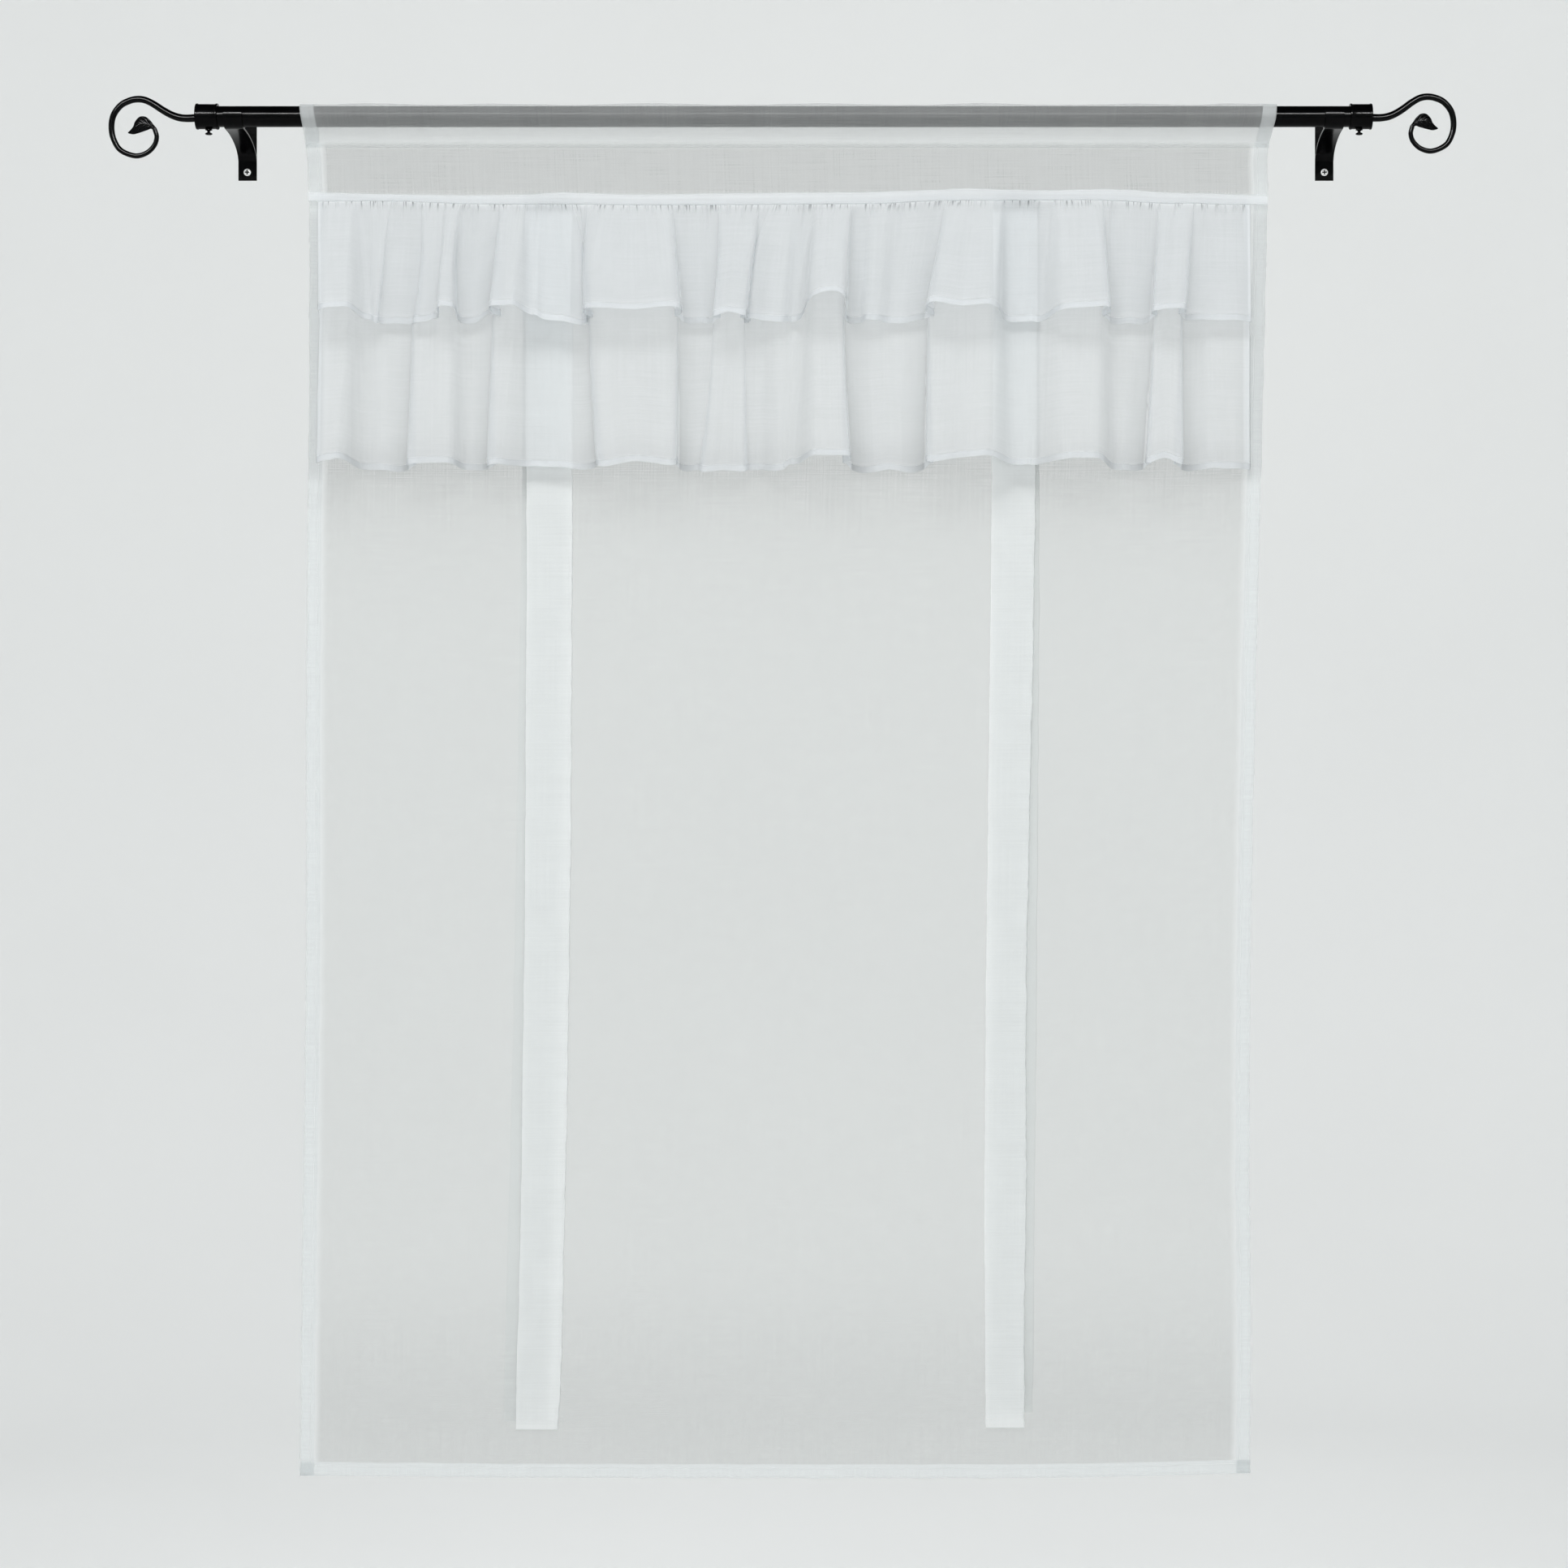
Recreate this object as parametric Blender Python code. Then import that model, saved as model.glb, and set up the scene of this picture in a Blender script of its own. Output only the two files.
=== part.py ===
"""A sheer tie-up window shade with a two-tier gathered valance, on a black rod with scroll finials.

The shade hangs from a pocket sewn round a straight steel tube, and two wall brackets carry the tube.
Four ties hang from the valance's seam, two in front of the panel and two behind it.

Frame: metres, +Z up, the front faces -Y and +X is to the right seen from the front. The origin lies on
the wall plane, midway between the two bracket screws and level with them.
"""
import math
from collections import namedtuple

import bmesh
import bpy
from mathutils import Matrix, Vector

MM = 0.001
GAP = 0.3 * MM

# Rod, in metres
ROD_DEPTH = 0.080
ROD_HEIGHT = 0.0455
ROD_RADIUS = 0.011
ROD_WALL = 0.001
ROD_HALF_LENGTH = 0.612
ROD_SIDES = 28

# Finial caps and their thumbscrews
CAP_INNER_END = 0.596
CAP_OUTER_END = 0.619
CAP_RADIUS = 0.01325
CAP_BEAD_RADIUS = 0.0137
CAP_BEAD_WIDTH = 0.0022
CAP_END_WALL = 0.002
CAP_SIDES = 24
THUMBSCREW_X = 0.606
THUMBSCREW_SHANK_RADIUS = 0.0013
THUMBSCREW_HEAD_RADIUS = 0.0038
THUMBSCREW_SIDES = 12

# Finial scrolls: a round bar that tapers from the cap to the leaf. The left one is bent a little wider.
SCROLL_START_RADIUS = 0.0041
SCROLL_END_RADIUS = 0.0024
SCROLL_RINGS = 34
SCROLL_TILT_DEG = {"left": -1.6, "right": 1.6}
SCROLL_SIZE = {"left": 1.02, "right": 0.98}

# Brackets: a wall plate, a quarter-ellipse arm and a cradle under the rod. The arm's ends and the place
# where the cradle's back meets it are turns in radians round their ellipse and circle.
BRACKET_X = 0.579
STRAP_WIDTH = 0.0198
STRAP_THICKNESS = 0.002
PLATE_BOTTOM = -0.0087
PLATE_TOP = 0.063
ARM_ROOT_HEIGHT = 0.012
CRADLE_LIP_RISE = 0.003
CRADLE_BACK_MEETS_ARM = 0.52
ARM_UNDERSIDE_ROOT = 0.16
ARM_TOP_ROOT = 0.30
ARM_TOP_END = 1.42
ARM_FILLET = 0.0085
SCREW_HEAD_RADIUS = 0.0038
SCREW_HEAD_HEIGHT = 0.0024
SCREW_SHANK_RADIUS = 0.0020
SCREW_SIDES = 20
RECESS_ARM = 0.0021
RECESS_HALF_WIDTH = 0.0005
RECESS_DEPTH = 0.0012

# Cloth
CLOTH = 0.0010
HEM_EXTRA = 0.0008
SIDE_HEM = 0.0148
BOTTOM_HEM = 0.0145
POCKET_SEAM_Z = 0.0160
POCKET_CLEARANCE = 0.0007
POCKET_CROTCH = 0.0022
POCKET_STEPS = 12
BAND_TOP_Z = -0.0352
BAND_BOTTOM_Z = -0.0465
BAND_FRONT = 0.0044
BAND_EDGES = (-0.5005, 0.5090)
TIE_THICKNESS = 0.0010
RUFFLE_TOP_Z = BAND_BOTTOM_Z - GAP
RUFFLE_HEM = 0.0075
RISE_PER_DEPTH = 0.29
SHOULDER_SHARE = 0.26
LONGEST_SHOULDER_MM = 9.0
WIDE_FOLD_MM = 26.0
WIDE_VALLEY_MM = 24.0

BLACK_METAL = ("black_metal", (0.012, 0.012, 0.013, 1.0), 0.38, 0.85)
NICKEL = ("bright_nickel", (0.62, 0.61, 0.57, 1.0), 0.28, 1.0)
VOILE = ("voile", (0.86, 0.88, 0.88, 1.0), 0.85, 0.0)
RUFFLE_VOILE = ("ruffle_voile", (0.88, 0.90, 0.91, 1.0), 0.85, 0.0)
TIE_CLOTH = ("tie_cloth", (0.90, 0.91, 0.92, 1.0), 0.60, 0.0)

# Side edges of the panel, in millimetres: height, left edge, right edge
PANEL_EDGES = (
    (60, -510.0, 519.0),
    (34, -506.0, 516.0),
    (16, -504.0, 511.0),
    (-37, -501.0, 510.0),
    (-174, -500.2, 506.5),
    (-345, -501.5, 502.5),
    (-600, -503.6, 496.3),
    (-860, -503.8, 491.5),
    (-1115, -507.0, 491.0),
    (-1240, -508.4, 492.3),
    (-1354, -509.2, 491.2),
    (-1390, -510.0, 491.0),
)

# Bottom edge of the panel, in millimetres: place across, height
PANEL_FOOT = (
    (-510, -1386.0),
    (-407, -1387.5),
    (-200, -1388.5),
    (50, -1389.0),
    (345, -1387.5),
    (422, -1385.5),
    (491, -1384.3),
)

# Soft waves of the hanging panel, in millimetres: place across at mid height, lean to the foot,
# half width, how far forward, height of the middle, half height
Wave = namedtuple("Wave", "across lean half_width forward middle half_height")
PANEL_WAVES = (
    Wave(-410, -15, 60, 3.5, -900, 560),
    Wave(-150, -20, 90, -3.0, -980, 520),
    Wave(90, -10, 100, 3.5, -1020, 500),
    Wave(330, -25, 70, -3.0, -860, 480),
    Wave(450, -10, 35, 4.0, -760, 300),
)

# Puckers where the pocket rides over the rod, in millimetres: place across, half width, lift
POCKET_PUCKERS = (
    (-430, 60, 1.6),
    (-300, 70, 1.2),
    (-140, 80, 1.8),
    (40, 90, 1.5),
    (210, 70, 1.9),
    (370, 60, 1.4),
    (470, 45, 1.2),
)

# Ties, in millimetres. Edges: height, left edge, right edge. The offset is forward of the panel's middle
# at the seam and at the foot, and negative behind the panel.
Tie = namedtuple("Tie", "name edges seam_offset foot_offset")
TIES = (
    Tie("tie_front_left", (
        (-46.8, -271.5, -222.5), (-345, -271.0, -222.3), (-943, -274.5, -227.4),
        (-1114, -277.0, -230.9), (-1285, -281.3, -235.1), (-1337, -282.2, -237.7)), 1.3, 2.6),
    Tie("tie_front_right", (
        (-46.8, 219.5, 267.0), (-345, 218.9, 265.0), (-943, 212.0, 254.8),
        (-1114, 211.2, 254.8), (-1285, 212.0, 253.0), (-1335, 212.6, 253.8)), 1.3, 2.6),
    Tie("tie_back_left", (
        (-40.0, -275.0, -228.0), (-345, -276.2, -228.2), (-687, -282.2, -234.2),
        (-943, -286.4, -238.4), (-1114, -290.7, -243.0), (-1330, -296.0, -248.5)), -1.8, -3.6),
    Tie("tie_back_right", (
        (-40.0, 222.0, 270.0), (-345, 221.0, 269.3), (-600, 220.5, 268.5),
        (-943, 218.0, 265.9), (-1114, 216.5, 264.2), (-1320, 214.5, 262.2)), -1.8, -3.6),
)

# Valance folds, in millimetres, left to right: the two edges of each fold at the seam and at the hem, how
# far it stands out from the valleys, how far the cloth turns under at each edge (0 is a soft edge), and
# how far out the dip to its right lies.
Fold = namedtuple("Fold", "top_left top_right foot_left foot_right depth under_left under_right dip")
UPPER_FOLDS = (
    Fold(-490, -451, -484, -445, 36, 0, 0, 8),
    Fold(-436, -415, -432, -424, 12, 0, 4, 0),
    Fold(-381, -364, -388, -367, 13, 5, 0, 12),
    Fold(-356, -339, -360, -341, 34, 0, 0, 0),
    Fold(-298, -270, -306, -272, 38, 7, 0, 20),
    Fold(-255, -221, -255, -209, 17, 0, 5, 0),
    Fold(-204, -118, -205, -105, 34, 6, 7, 0),
    Fold(-68, -26, -74, -38, 28, 6, 5, 0),
    Fold(-14, 12, -29, 3, 10, 5, 0, 3),
    Fold(33, 72, 29, 65, 44, 0, 0, 0),
    Fold(89, 115, 84, 103, 9, 0, 0, 0),
    Fold(171, 231, 148, 228, 37, 7, 0, 4),
    Fold(284, 335, 280, 342, 35, 0, 5, 0),
    Fold(395, 431, 384, 420, 35, 5, 5, 8),
    Fold(446, 491, 445, 490.5, 7, 0, 0, 0),
)
LOWER_FOLDS = (
    Fold(-488, -451, -487, -456, 34, 0, 0, 0),
    Fold(-389, -347, -394, -344, 26, 6, 0, 0),
    Fold(-302, -278, -310, -281, 26, 6, 0, 9),
    Fold(-205, -146, -195, -145, 31, 6, 0, 8),
    Fold(-134, -115, -132, -110, 11, 0, 5, 0),
    Fold(-74, -45, -89, -38, 9, 5, 4, 0),
    Fold(-14, 17, -17, 5, 15, 0, 0, 15),
    Fold(31, 62, 23, 71, 39, 0, 6, 0),
    Fold(155, 231, 148, 229, 36, 7, 0, 15),
    Fold(284, 338, 277, 339, 33, 0, 0, 0),
    Fold(391, 419, 378, 418, 33, 6, 6, 0),
    Fold(440, 491, 442, 490.5, 4, 0, 0, 0),
)

# A tier of the valance, lengths in metres: its hem's height in the valleys, how far its middle lies in
# front of the panel's at the seam and at the hem, and the share of each fold's depth that is reached at
# shares of the drop. The lower tier stays flat until it clears the upper one.
Tier = namedtuple("Tier", "name folds hem_z seam_forward hem_forward opening")
UPPER_TIER = Tier("ruffle_upper", UPPER_FOLDS, -0.1740, 0.0039, 0.0149,
                  ((0.0, 0.0), (0.2, 0.26), (0.4, 0.46), (0.6, 0.65), (0.8, 0.83), (0.94, 0.95), (1.0, 1.0)))
LOWER_TIER = Tier("ruffle_lower", LOWER_FOLDS, -0.3275, 0.0026, 0.0080,
                  ((0.0, 0.0), (0.23, 0.08), (0.45, 0.15), (0.6, 0.36), (0.75, 0.60), (0.90, 0.84),
                   (0.973, 0.96), (1.0, 1.0)))

# Centre line of a finial's scroll, in millimetres from the middle of the cap's end: outward, up
SCROLL_LINE = (
    (0.6, -1.3), (9.5, -1.5), (18.0, -0.4), (26.5, 2.9), (35.2, 8.1), (43.7, 14.0), (52.2, 18.4),
    (60.0, 19.7), (68.4, 18.4), (78.0, 13.6), (85.6, 3.7), (88.0, -8.8), (86.0, -21.2), (79.0, -32.6),
    (64.5, -38.7), (52.4, -36.0), (44.3, -28.4), (41.6, -19.8), (43.5, -11.7),
)

# Sections of a leaf from its stem to its tip, in millimetres in the scroll's plane: upper edge (outward,
# up), lower edge (outward, up) and half thickness at the midrib
LEAF_SECTIONS = (
    ((41.4, -10.65), (45.9, -12.05), 1.8),
    ((44.4, -7.0), (47.6, -11.3), 1.9),
    ((47.6, -2.7), (50.5, -12.4), 2.1),
    ((52.6, 1.4), (54.5, -13.7), 2.4),
    ((58.7, 1.5), (58.5, -14.9), 2.5),
    ((63.6, -3.2), (62.5, -16.0), 2.2),
    ((65.3, -7.8), (65.7, -16.5), 1.8),
    ((68.0, -11.5), (69.2, -15.9), 1.3),
    ((70.9, -14.2), (71.1, -15.1), 0.7),
)
LEAF_EDGE_HALF_THICKNESS = 0.5


def remove_default_objects():
    for item in list(bpy.data.objects):
        bpy.data.objects.remove(item, do_unlink=True)


def material(look):
    name, colour, roughness, metallic = look
    found = bpy.data.materials.get(name)
    if found:
        return found
    made = bpy.data.materials.new(name)
    made.use_nodes = True
    shader = made.node_tree.nodes["Principled BSDF"]
    shader.inputs["Base Color"].default_value = colour
    shader.inputs["Roughness"].default_value = roughness
    shader.inputs["Metallic"].default_value = metallic
    made.diffuse_color = colour
    return made


def add_object(name, bm, look, smooth_angle=None):
    bmesh.ops.recalc_face_normals(bm, faces=bm.faces)
    mesh = bpy.data.meshes.new(name)
    bm.to_mesh(mesh)
    bm.free()
    mesh.materials.append(material(look))
    if smooth_angle:
        mesh.shade_smooth()
        mesh.set_sharp_from_angle(angle=math.radians(smooth_angle))
    item = bpy.data.objects.new(name, mesh)
    bpy.context.collection.objects.link(item)
    return item


def cut(item, name, bm):
    """Takes the closed mesh bm out of an object with a Boolean and leaves the cutter as a guide."""
    cutter = add_object(name, bm, BLACK_METAL)
    cutter.hide_render = True
    cutter.display_type = "WIRE"
    boolean = item.modifiers.new(name, "BOOLEAN")
    boolean.operation = "DIFFERENCE"
    boolean.object = cutter
    boolean.solver = "EXACT"


def table_value(table, place, column):
    """Reads a column of a table of rows at a place between them, along straight lines."""
    rows = sorted(table)
    place = min(max(place, rows[0][0]), rows[-1][0])
    for low, high in zip(rows, rows[1:]):
        if place <= high[0]:
            share = (place - low[0]) / (high[0] - low[0])
            return low[column] + share * (high[column] - low[column])
    return rows[-1][column]


def blend(start, end, share):
    return start + (end - start) * share


def bump(place, middle, half_width):
    """A soft hump, 1 in the middle and 0 at its sides."""
    reach = abs(place - middle) / half_width
    return 0.0 if reach >= 1.0 else 0.5 + 0.5 * math.cos(math.pi * reach)


def panel_forward(x, z):
    """How far the middle of the hanging panel stands forward of the rod's middle, in metres."""
    total = 0.0
    for wave in PANEL_WAVES:
        down = (wave.middle - z / MM) / wave.half_height
        middle = wave.across + wave.lean * down
        total += wave.forward * bump(x / MM, middle, wave.half_width * 1.6) * bump(down, 0.0, 1.0)
    return total * MM


def panel_columns():
    """Shares across the panel, with a step at the inner edge of each side hem."""
    inner = 18
    hem = SIDE_HEM / (PANEL_EDGES[2][2] - PANEL_EDGES[2][1]) / MM
    step = hem + 0.0010
    middle = [blend(step, 1.0 - step, i / inner) for i in range(inner + 1)]
    return [0.0, hem] + middle + [1.0 - hem, 1.0]


def panel_x(share, z):
    left = table_value(PANEL_EDGES, z / MM, 1)
    right = table_value(PANEL_EDGES, z / MM, 2)
    return blend(left, right, share) * MM


def panel_rows(x):
    """Heights of the panel's rows from the bottom edge to the pocket seam at one place across."""
    foot = table_value(PANEL_FOOT, x / MM, 1) * MM
    hem = foot + BOTTOM_HEM
    fixed = [-0.174, BAND_BOTTOM_Z, BAND_TOP_Z]
    upper = [blend(hem + 0.001, -0.345, i / 12) for i in range(13)]
    return [foot, hem] + upper + fixed + [POCKET_SEAM_Z - 0.002]


def pocket_lift(x, angle):
    """How far the pocket stands off the rod, most at its top, for an angle from straight down."""
    top = max(0.0, -math.cos(angle)) ** 2
    lift = sum(height * bump(x / MM, middle, half) for middle, half, height in POCKET_PUCKERS)
    return POCKET_CLEARANCE + lift * MM * top


def pocket_loop(share, radius, thickness_out, steps, tangent):
    """The pocket's section round the rod, from its front tangent over the top to its back tangent."""
    points = []
    for i in range(steps + 1):
        angle = blend(tangent, 2.0 * math.pi - tangent, i / steps)
        z_guess = ROD_HEIGHT - radius * math.cos(angle)
        x = panel_x(share, z_guess)
        reach = radius + pocket_lift(x, angle) + thickness_out
        forward = ROD_DEPTH + reach * math.sin(angle)
        height = ROD_HEIGHT - reach * math.cos(angle)
        points.append(Vector((panel_x(share, height), -forward, height)))
    return points


def build_panel():
    """The panel is one cloth: a sheet with side and bottom hems, and a pocket closed round the rod."""
    steps = POCKET_STEPS
    tangent = math.acos(ROD_RADIUS / (ROD_HEIGHT - POCKET_SEAM_Z))
    shares = panel_columns()
    outer_loops = []
    inner_loops = []
    for column, share in enumerate(shares):
        hemmed = column < 2 or column >= len(shares) - 2
        side_extra = HEM_EXTRA if hemmed else 0.0
        front = []
        back = []
        for row, z in enumerate(panel_rows(panel_x(share, -1.2))):
            x = panel_x(share, z)
            extra = max(side_extra, HEM_EXTRA if row < 2 else 0.0)
            middle = ROD_DEPTH + panel_forward(x, z)
            front.append(Vector((x, -middle - CLOTH / 2, z)))
            back.append(Vector((x, -middle + CLOTH / 2 + extra, z)))
        seam_x = panel_x(share, POCKET_SEAM_Z)
        front.append(Vector((seam_x, -ROD_DEPTH - CLOTH, POCKET_SEAM_Z)))
        back.append(Vector((seam_x, -ROD_DEPTH + CLOTH + side_extra, POCKET_SEAM_Z)))
        outer = pocket_loop(share, ROD_RADIUS, CLOTH + side_extra, steps, tangent)
        inner = pocket_loop(share, ROD_RADIUS, 0.0, steps, tangent)
        crotch = Vector((seam_x, -ROD_DEPTH, POCKET_SEAM_Z + POCKET_CROTCH))
        outer_loops.append(front + outer + list(reversed(back)))
        inner_loops.append([crotch] + inner)

    bm = bmesh.new()
    outer_verts = [[bm.verts.new(point) for point in loop] for loop in outer_loops]
    inner_verts = [[bm.verts.new(point) for point in loop] for loop in inner_loops]
    for loops, flip in ((outer_verts, False), (inner_verts, True)):
        for near, far in zip(loops, loops[1:]):
            count = len(near)
            for i in range(count):
                after = (i + 1) % count
                face = [near[i], near[after], far[after], far[i]]
                bm.faces.new(reversed(face) if flip else face)
    sheet = len(front)
    for outer, inner in ((outer_verts[0], inner_verts[0]), (outer_verts[-1], inner_verts[-1])):
        last = len(outer) - 1
        for i in range(sheet - 1):
            bm.faces.new([outer[i], outer[i + 1], outer[last - i - 1], outer[last - i]])
        seam_front = outer[sheet - 1]
        seam_back = outer[last - sheet + 1]
        bm.faces.new([seam_front, inner[0], seam_back])
        bm.faces.new([seam_front, outer[sheet], inner[1], inner[0]])
        bm.faces.new([seam_back, inner[0], inner[-1], outer[sheet + steps]])
        for i in range(steps):
            bm.faces.new([outer[sheet + i], outer[sheet + i + 1], inner[i + 2], inner[i + 1]])
    add_object("panel", bm, VOILE, 40)


def sheet_solid(name, middle_rows, thicknesses, look):
    """A closed thin solid: each row of points is the cloth's middle line at one height, and the cloth is
    thickened to both sides of it, square to the line as seen from above."""
    bm = bmesh.new()
    faces_grid = []
    for side in (1.0, -1.0):
        grid = []
        for row, points in enumerate(middle_rows):
            line = []
            for i, point in enumerate(points):
                before = points[max(i - 1, 0)]
                after = points[min(i + 1, len(points) - 1)]
                along = Vector((after.x - before.x, after.y - before.y, 0.0)).normalized()
                normal = Vector((along.y, -along.x, 0.0))
                line.append(bm.verts.new(point + normal * (side * thicknesses[row] / 2)))
            grid.append(line)
        faces_grid.append(grid)
    front, back = faces_grid
    rows = len(middle_rows)
    columns = len(middle_rows[0])
    for r in range(rows - 1):
        for c in range(columns - 1):
            bm.faces.new([front[r][c], front[r][c + 1], front[r + 1][c + 1], front[r + 1][c]])
            bm.faces.new([back[r][c], back[r + 1][c], back[r + 1][c + 1], back[r][c + 1]])
        bm.faces.new([front[r][0], front[r + 1][0], back[r + 1][0], back[r][0]])
        bm.faces.new([front[r][-1], back[r][-1], back[r + 1][-1], front[r + 1][-1]])
    for c in range(columns - 1):
        bm.faces.new([front[0][c], back[0][c], back[0][c + 1], front[0][c + 1]])
        bm.faces.new([front[-1][c], front[-1][c + 1], back[-1][c + 1], back[-1][c]])
    return add_object(name, bm, look, 50)


def build_band():
    """The seam band: a narrow strip across the panel over the gathered edges of the valance."""
    columns = 18
    half = (BAND_FRONT - CLOTH / 2 - GAP) / 2
    middle = ROD_DEPTH + CLOTH / 2 + GAP + half
    rows = []
    for z in (BAND_TOP_Z, (BAND_TOP_Z + BAND_BOTTOM_Z) / 2, BAND_BOTTOM_Z):
        xs = [blend(BAND_EDGES[0], BAND_EDGES[1], i / columns) for i in range(columns + 1)]
        rows.append([Vector((x, -middle, z)) for x in xs])
    return sheet_solid("seam_band", rows, [2 * half] * 3, RUFFLE_VOILE)


def build_tie(tie):
    """A tie hangs flat from the seam, a little off the panel and following its waves."""
    rows = []
    bottom = tie.edges[-1][0]
    top = tie.edges[0][0]
    steps = 16
    for i in range(steps + 1):
        z = blend(top, bottom, i / steps)
        left = table_value(tie.edges, z, 1)
        right = table_value(tie.edges, z, 2)
        offset = blend(tie.seam_offset, tie.foot_offset, min(1.0, 4.0 * i / steps))
        line = []
        for share in (0.0, 0.5, 1.0):
            x = blend(left, right, share)
            forward = ROD_DEPTH / MM + panel_forward(x * MM, z * MM) / MM + offset
            line.append(Vector((x * MM, -forward * MM, z * MM)))
        rows.append(line)
    return sheet_solid(tie.name, rows, [TIE_THICKNESS] * len(rows), TIE_CLOTH)


# A place along a tier's gathers, in millimetres: where its fold's edge lies at the seam and the hem, how
# far beside that edge it lies at each, and how far it stands out at the hem
Station = namedtuple("Station", "edge_top edge_foot beside_top beside_foot out")


def fold_stations(folds):
    """Lays the stations of each fold in order, with the dips between the folds."""
    stations = []
    for index, fold in enumerate(folds):
        width = fold.foot_right - fold.foot_left
        shoulder = min(SHOULDER_SHARE * width, LONGEST_SHOULDER_MM)
        before = folds[index - 1].dip if index else 0.0
        first = index == 0
        last = index == len(folds) - 1
        left = (fold.top_left, fold.foot_left)
        right = (fold.top_right, fold.foot_right)
        if first:
            stations.append(Station(*left, 0.0, 0.0, 0.80 * fold.depth))
            stations.append(Station(*left, 3.0, shoulder, fold.depth))
        elif fold.under_left:
            stations.append(Station(*left, -2.5, fold.under_left, before))
            stations.append(Station(*left, -0.5, 0.0, blend(before, fold.depth, 0.5)))
            stations.append(Station(*left, 2.5, shoulder, 0.97 * fold.depth))
        else:
            stations.append(Station(*left, -3.0, -5.0, before))
            stations.append(Station(*left, 3.0, min(shoulder, 5.0), fold.depth))
        if width > WIDE_FOLD_MM:
            middle = ((fold.top_left + fold.top_right) / 2, (fold.foot_left + fold.foot_right) / 2)
            stations.append(Station(*middle, 0.0, 0.0, 1.04 * fold.depth))
        if last:
            stations.append(Station(*right, 0.0, 0.0, 0.3 * fold.depth))
            continue
        if fold.under_right:
            stations.append(Station(*right, -2.5, -shoulder, 0.97 * fold.depth))
            stations.append(Station(*right, 0.5, 0.0, blend(fold.dip, fold.depth, 0.5)))
            stations.append(Station(*right, 2.5, -fold.under_right, fold.dip))
        else:
            stations.append(Station(*right, -3.0, -min(shoulder, 5.0), fold.depth))
            stations.append(Station(*right, 3.0, 5.0, fold.dip))
        after = folds[index + 1]
        if after.foot_left - fold.foot_right > WIDE_VALLEY_MM:
            middle = ((fold.top_right + after.top_left) / 2, (fold.foot_right + after.foot_left) / 2)
            stations.append(Station(*middle, 0.0, 0.0, fold.dip))
    return stations


def build_tier(tier):
    """One tier of the valance: flat and gathered at the seam, and opening into its folds down to the hem."""
    rows = []
    thicknesses = []
    for down, opened in tier.opening:
        line = []
        for station in fold_stations(tier.folds):
            edge = blend(station.edge_top, station.edge_foot, down)
            x = edge + blend(station.beside_top, station.beside_foot, opened)
            sheet_out = blend(tier.seam_forward, tier.hem_forward, down) / MM
            out = ROD_DEPTH / MM + sheet_out + station.out * opened
            foot_z = tier.hem_z / MM + RISE_PER_DEPTH * station.out
            z = blend(RUFFLE_TOP_Z / MM, foot_z, down)
            line.append(Vector((x, -out, z)) * MM)
        rows.append(line)
        drop = RUFFLE_TOP_Z - tier.hem_z
        hemmed = down > 1.0 - 1.1 * RUFFLE_HEM / drop
        thicknesses.append(CLOTH + (0.0004 if hemmed else 0.0))
    return sheet_solid(tier.name, rows, thicknesses, RUFFLE_VOILE)


def lathe(name, profile, sides, look, closed_ring, turn):
    """Turns a profile of (along, radius) points round the X axis, then places it with a matrix."""
    bm = bmesh.new()
    verts = [bm.verts.new((along, 0.0, radius)) for along, radius in profile]
    edges = [bm.edges.new(pair) for pair in zip(verts, verts[1:])]
    if closed_ring:
        edges.append(bm.edges.new((verts[-1], verts[0])))
    bmesh.ops.spin(bm, geom=verts + edges, cent=(0, 0, 0), axis=(1, 0, 0), angle=2 * math.pi,
                   steps=sides, use_merge=True)
    bmesh.ops.remove_doubles(bm, verts=bm.verts, dist=1e-6)
    bmesh.ops.transform(bm, matrix=turn, verts=bm.verts)
    return add_object(name, bm, look, 35)


def cylinder_mesh(radius, start, end, sides):
    """A closed cylinder between two points, for a hole."""
    bm = bmesh.new()
    axis = end - start
    turn = Matrix.Translation((start + end) / 2) @ axis.to_track_quat("Z", "Y").to_matrix().to_4x4()
    bmesh.ops.create_cone(bm, cap_ends=True, segments=sides, radius1=radius, radius2=radius,
                          depth=axis.length, matrix=turn)
    return bm


def prism(name, outline, axis_start, axis_end, look, smooth_angle=30):
    """A closed prism over an outline of points, carried from one place to another."""
    bm = bmesh.new()
    near = [bm.verts.new(axis_start + point) for point in outline]
    far = [bm.verts.new(axis_end + point) for point in outline]
    bm.faces.new(near)
    bm.faces.new(list(reversed(far)))
    count = len(outline)
    for i in range(count):
        after = (i + 1) % count
        bm.faces.new([near[i], far[i], far[after], near[after]])
    if name is None:
        return bm
    return add_object(name, bm, look, smooth_angle)


def rod_matrix(sign):
    """Puts a turned piece on the rod's axis, with its own +X pointing outward on the given side."""
    place = Matrix.Translation((0.0, -ROD_DEPTH, ROD_HEIGHT))
    return place if sign > 0 else place @ Matrix.Rotation(math.pi, 4, "Z")


def build_rod():
    end = ROD_HALF_LENGTH
    inner = ROD_RADIUS - ROD_WALL
    profile = [(-end, inner), (end, inner), (end, ROD_RADIUS), (-end, ROD_RADIUS)]
    lathe("rod", profile, ROD_SIDES, BLACK_METAL, True, rod_matrix(1))


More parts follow.
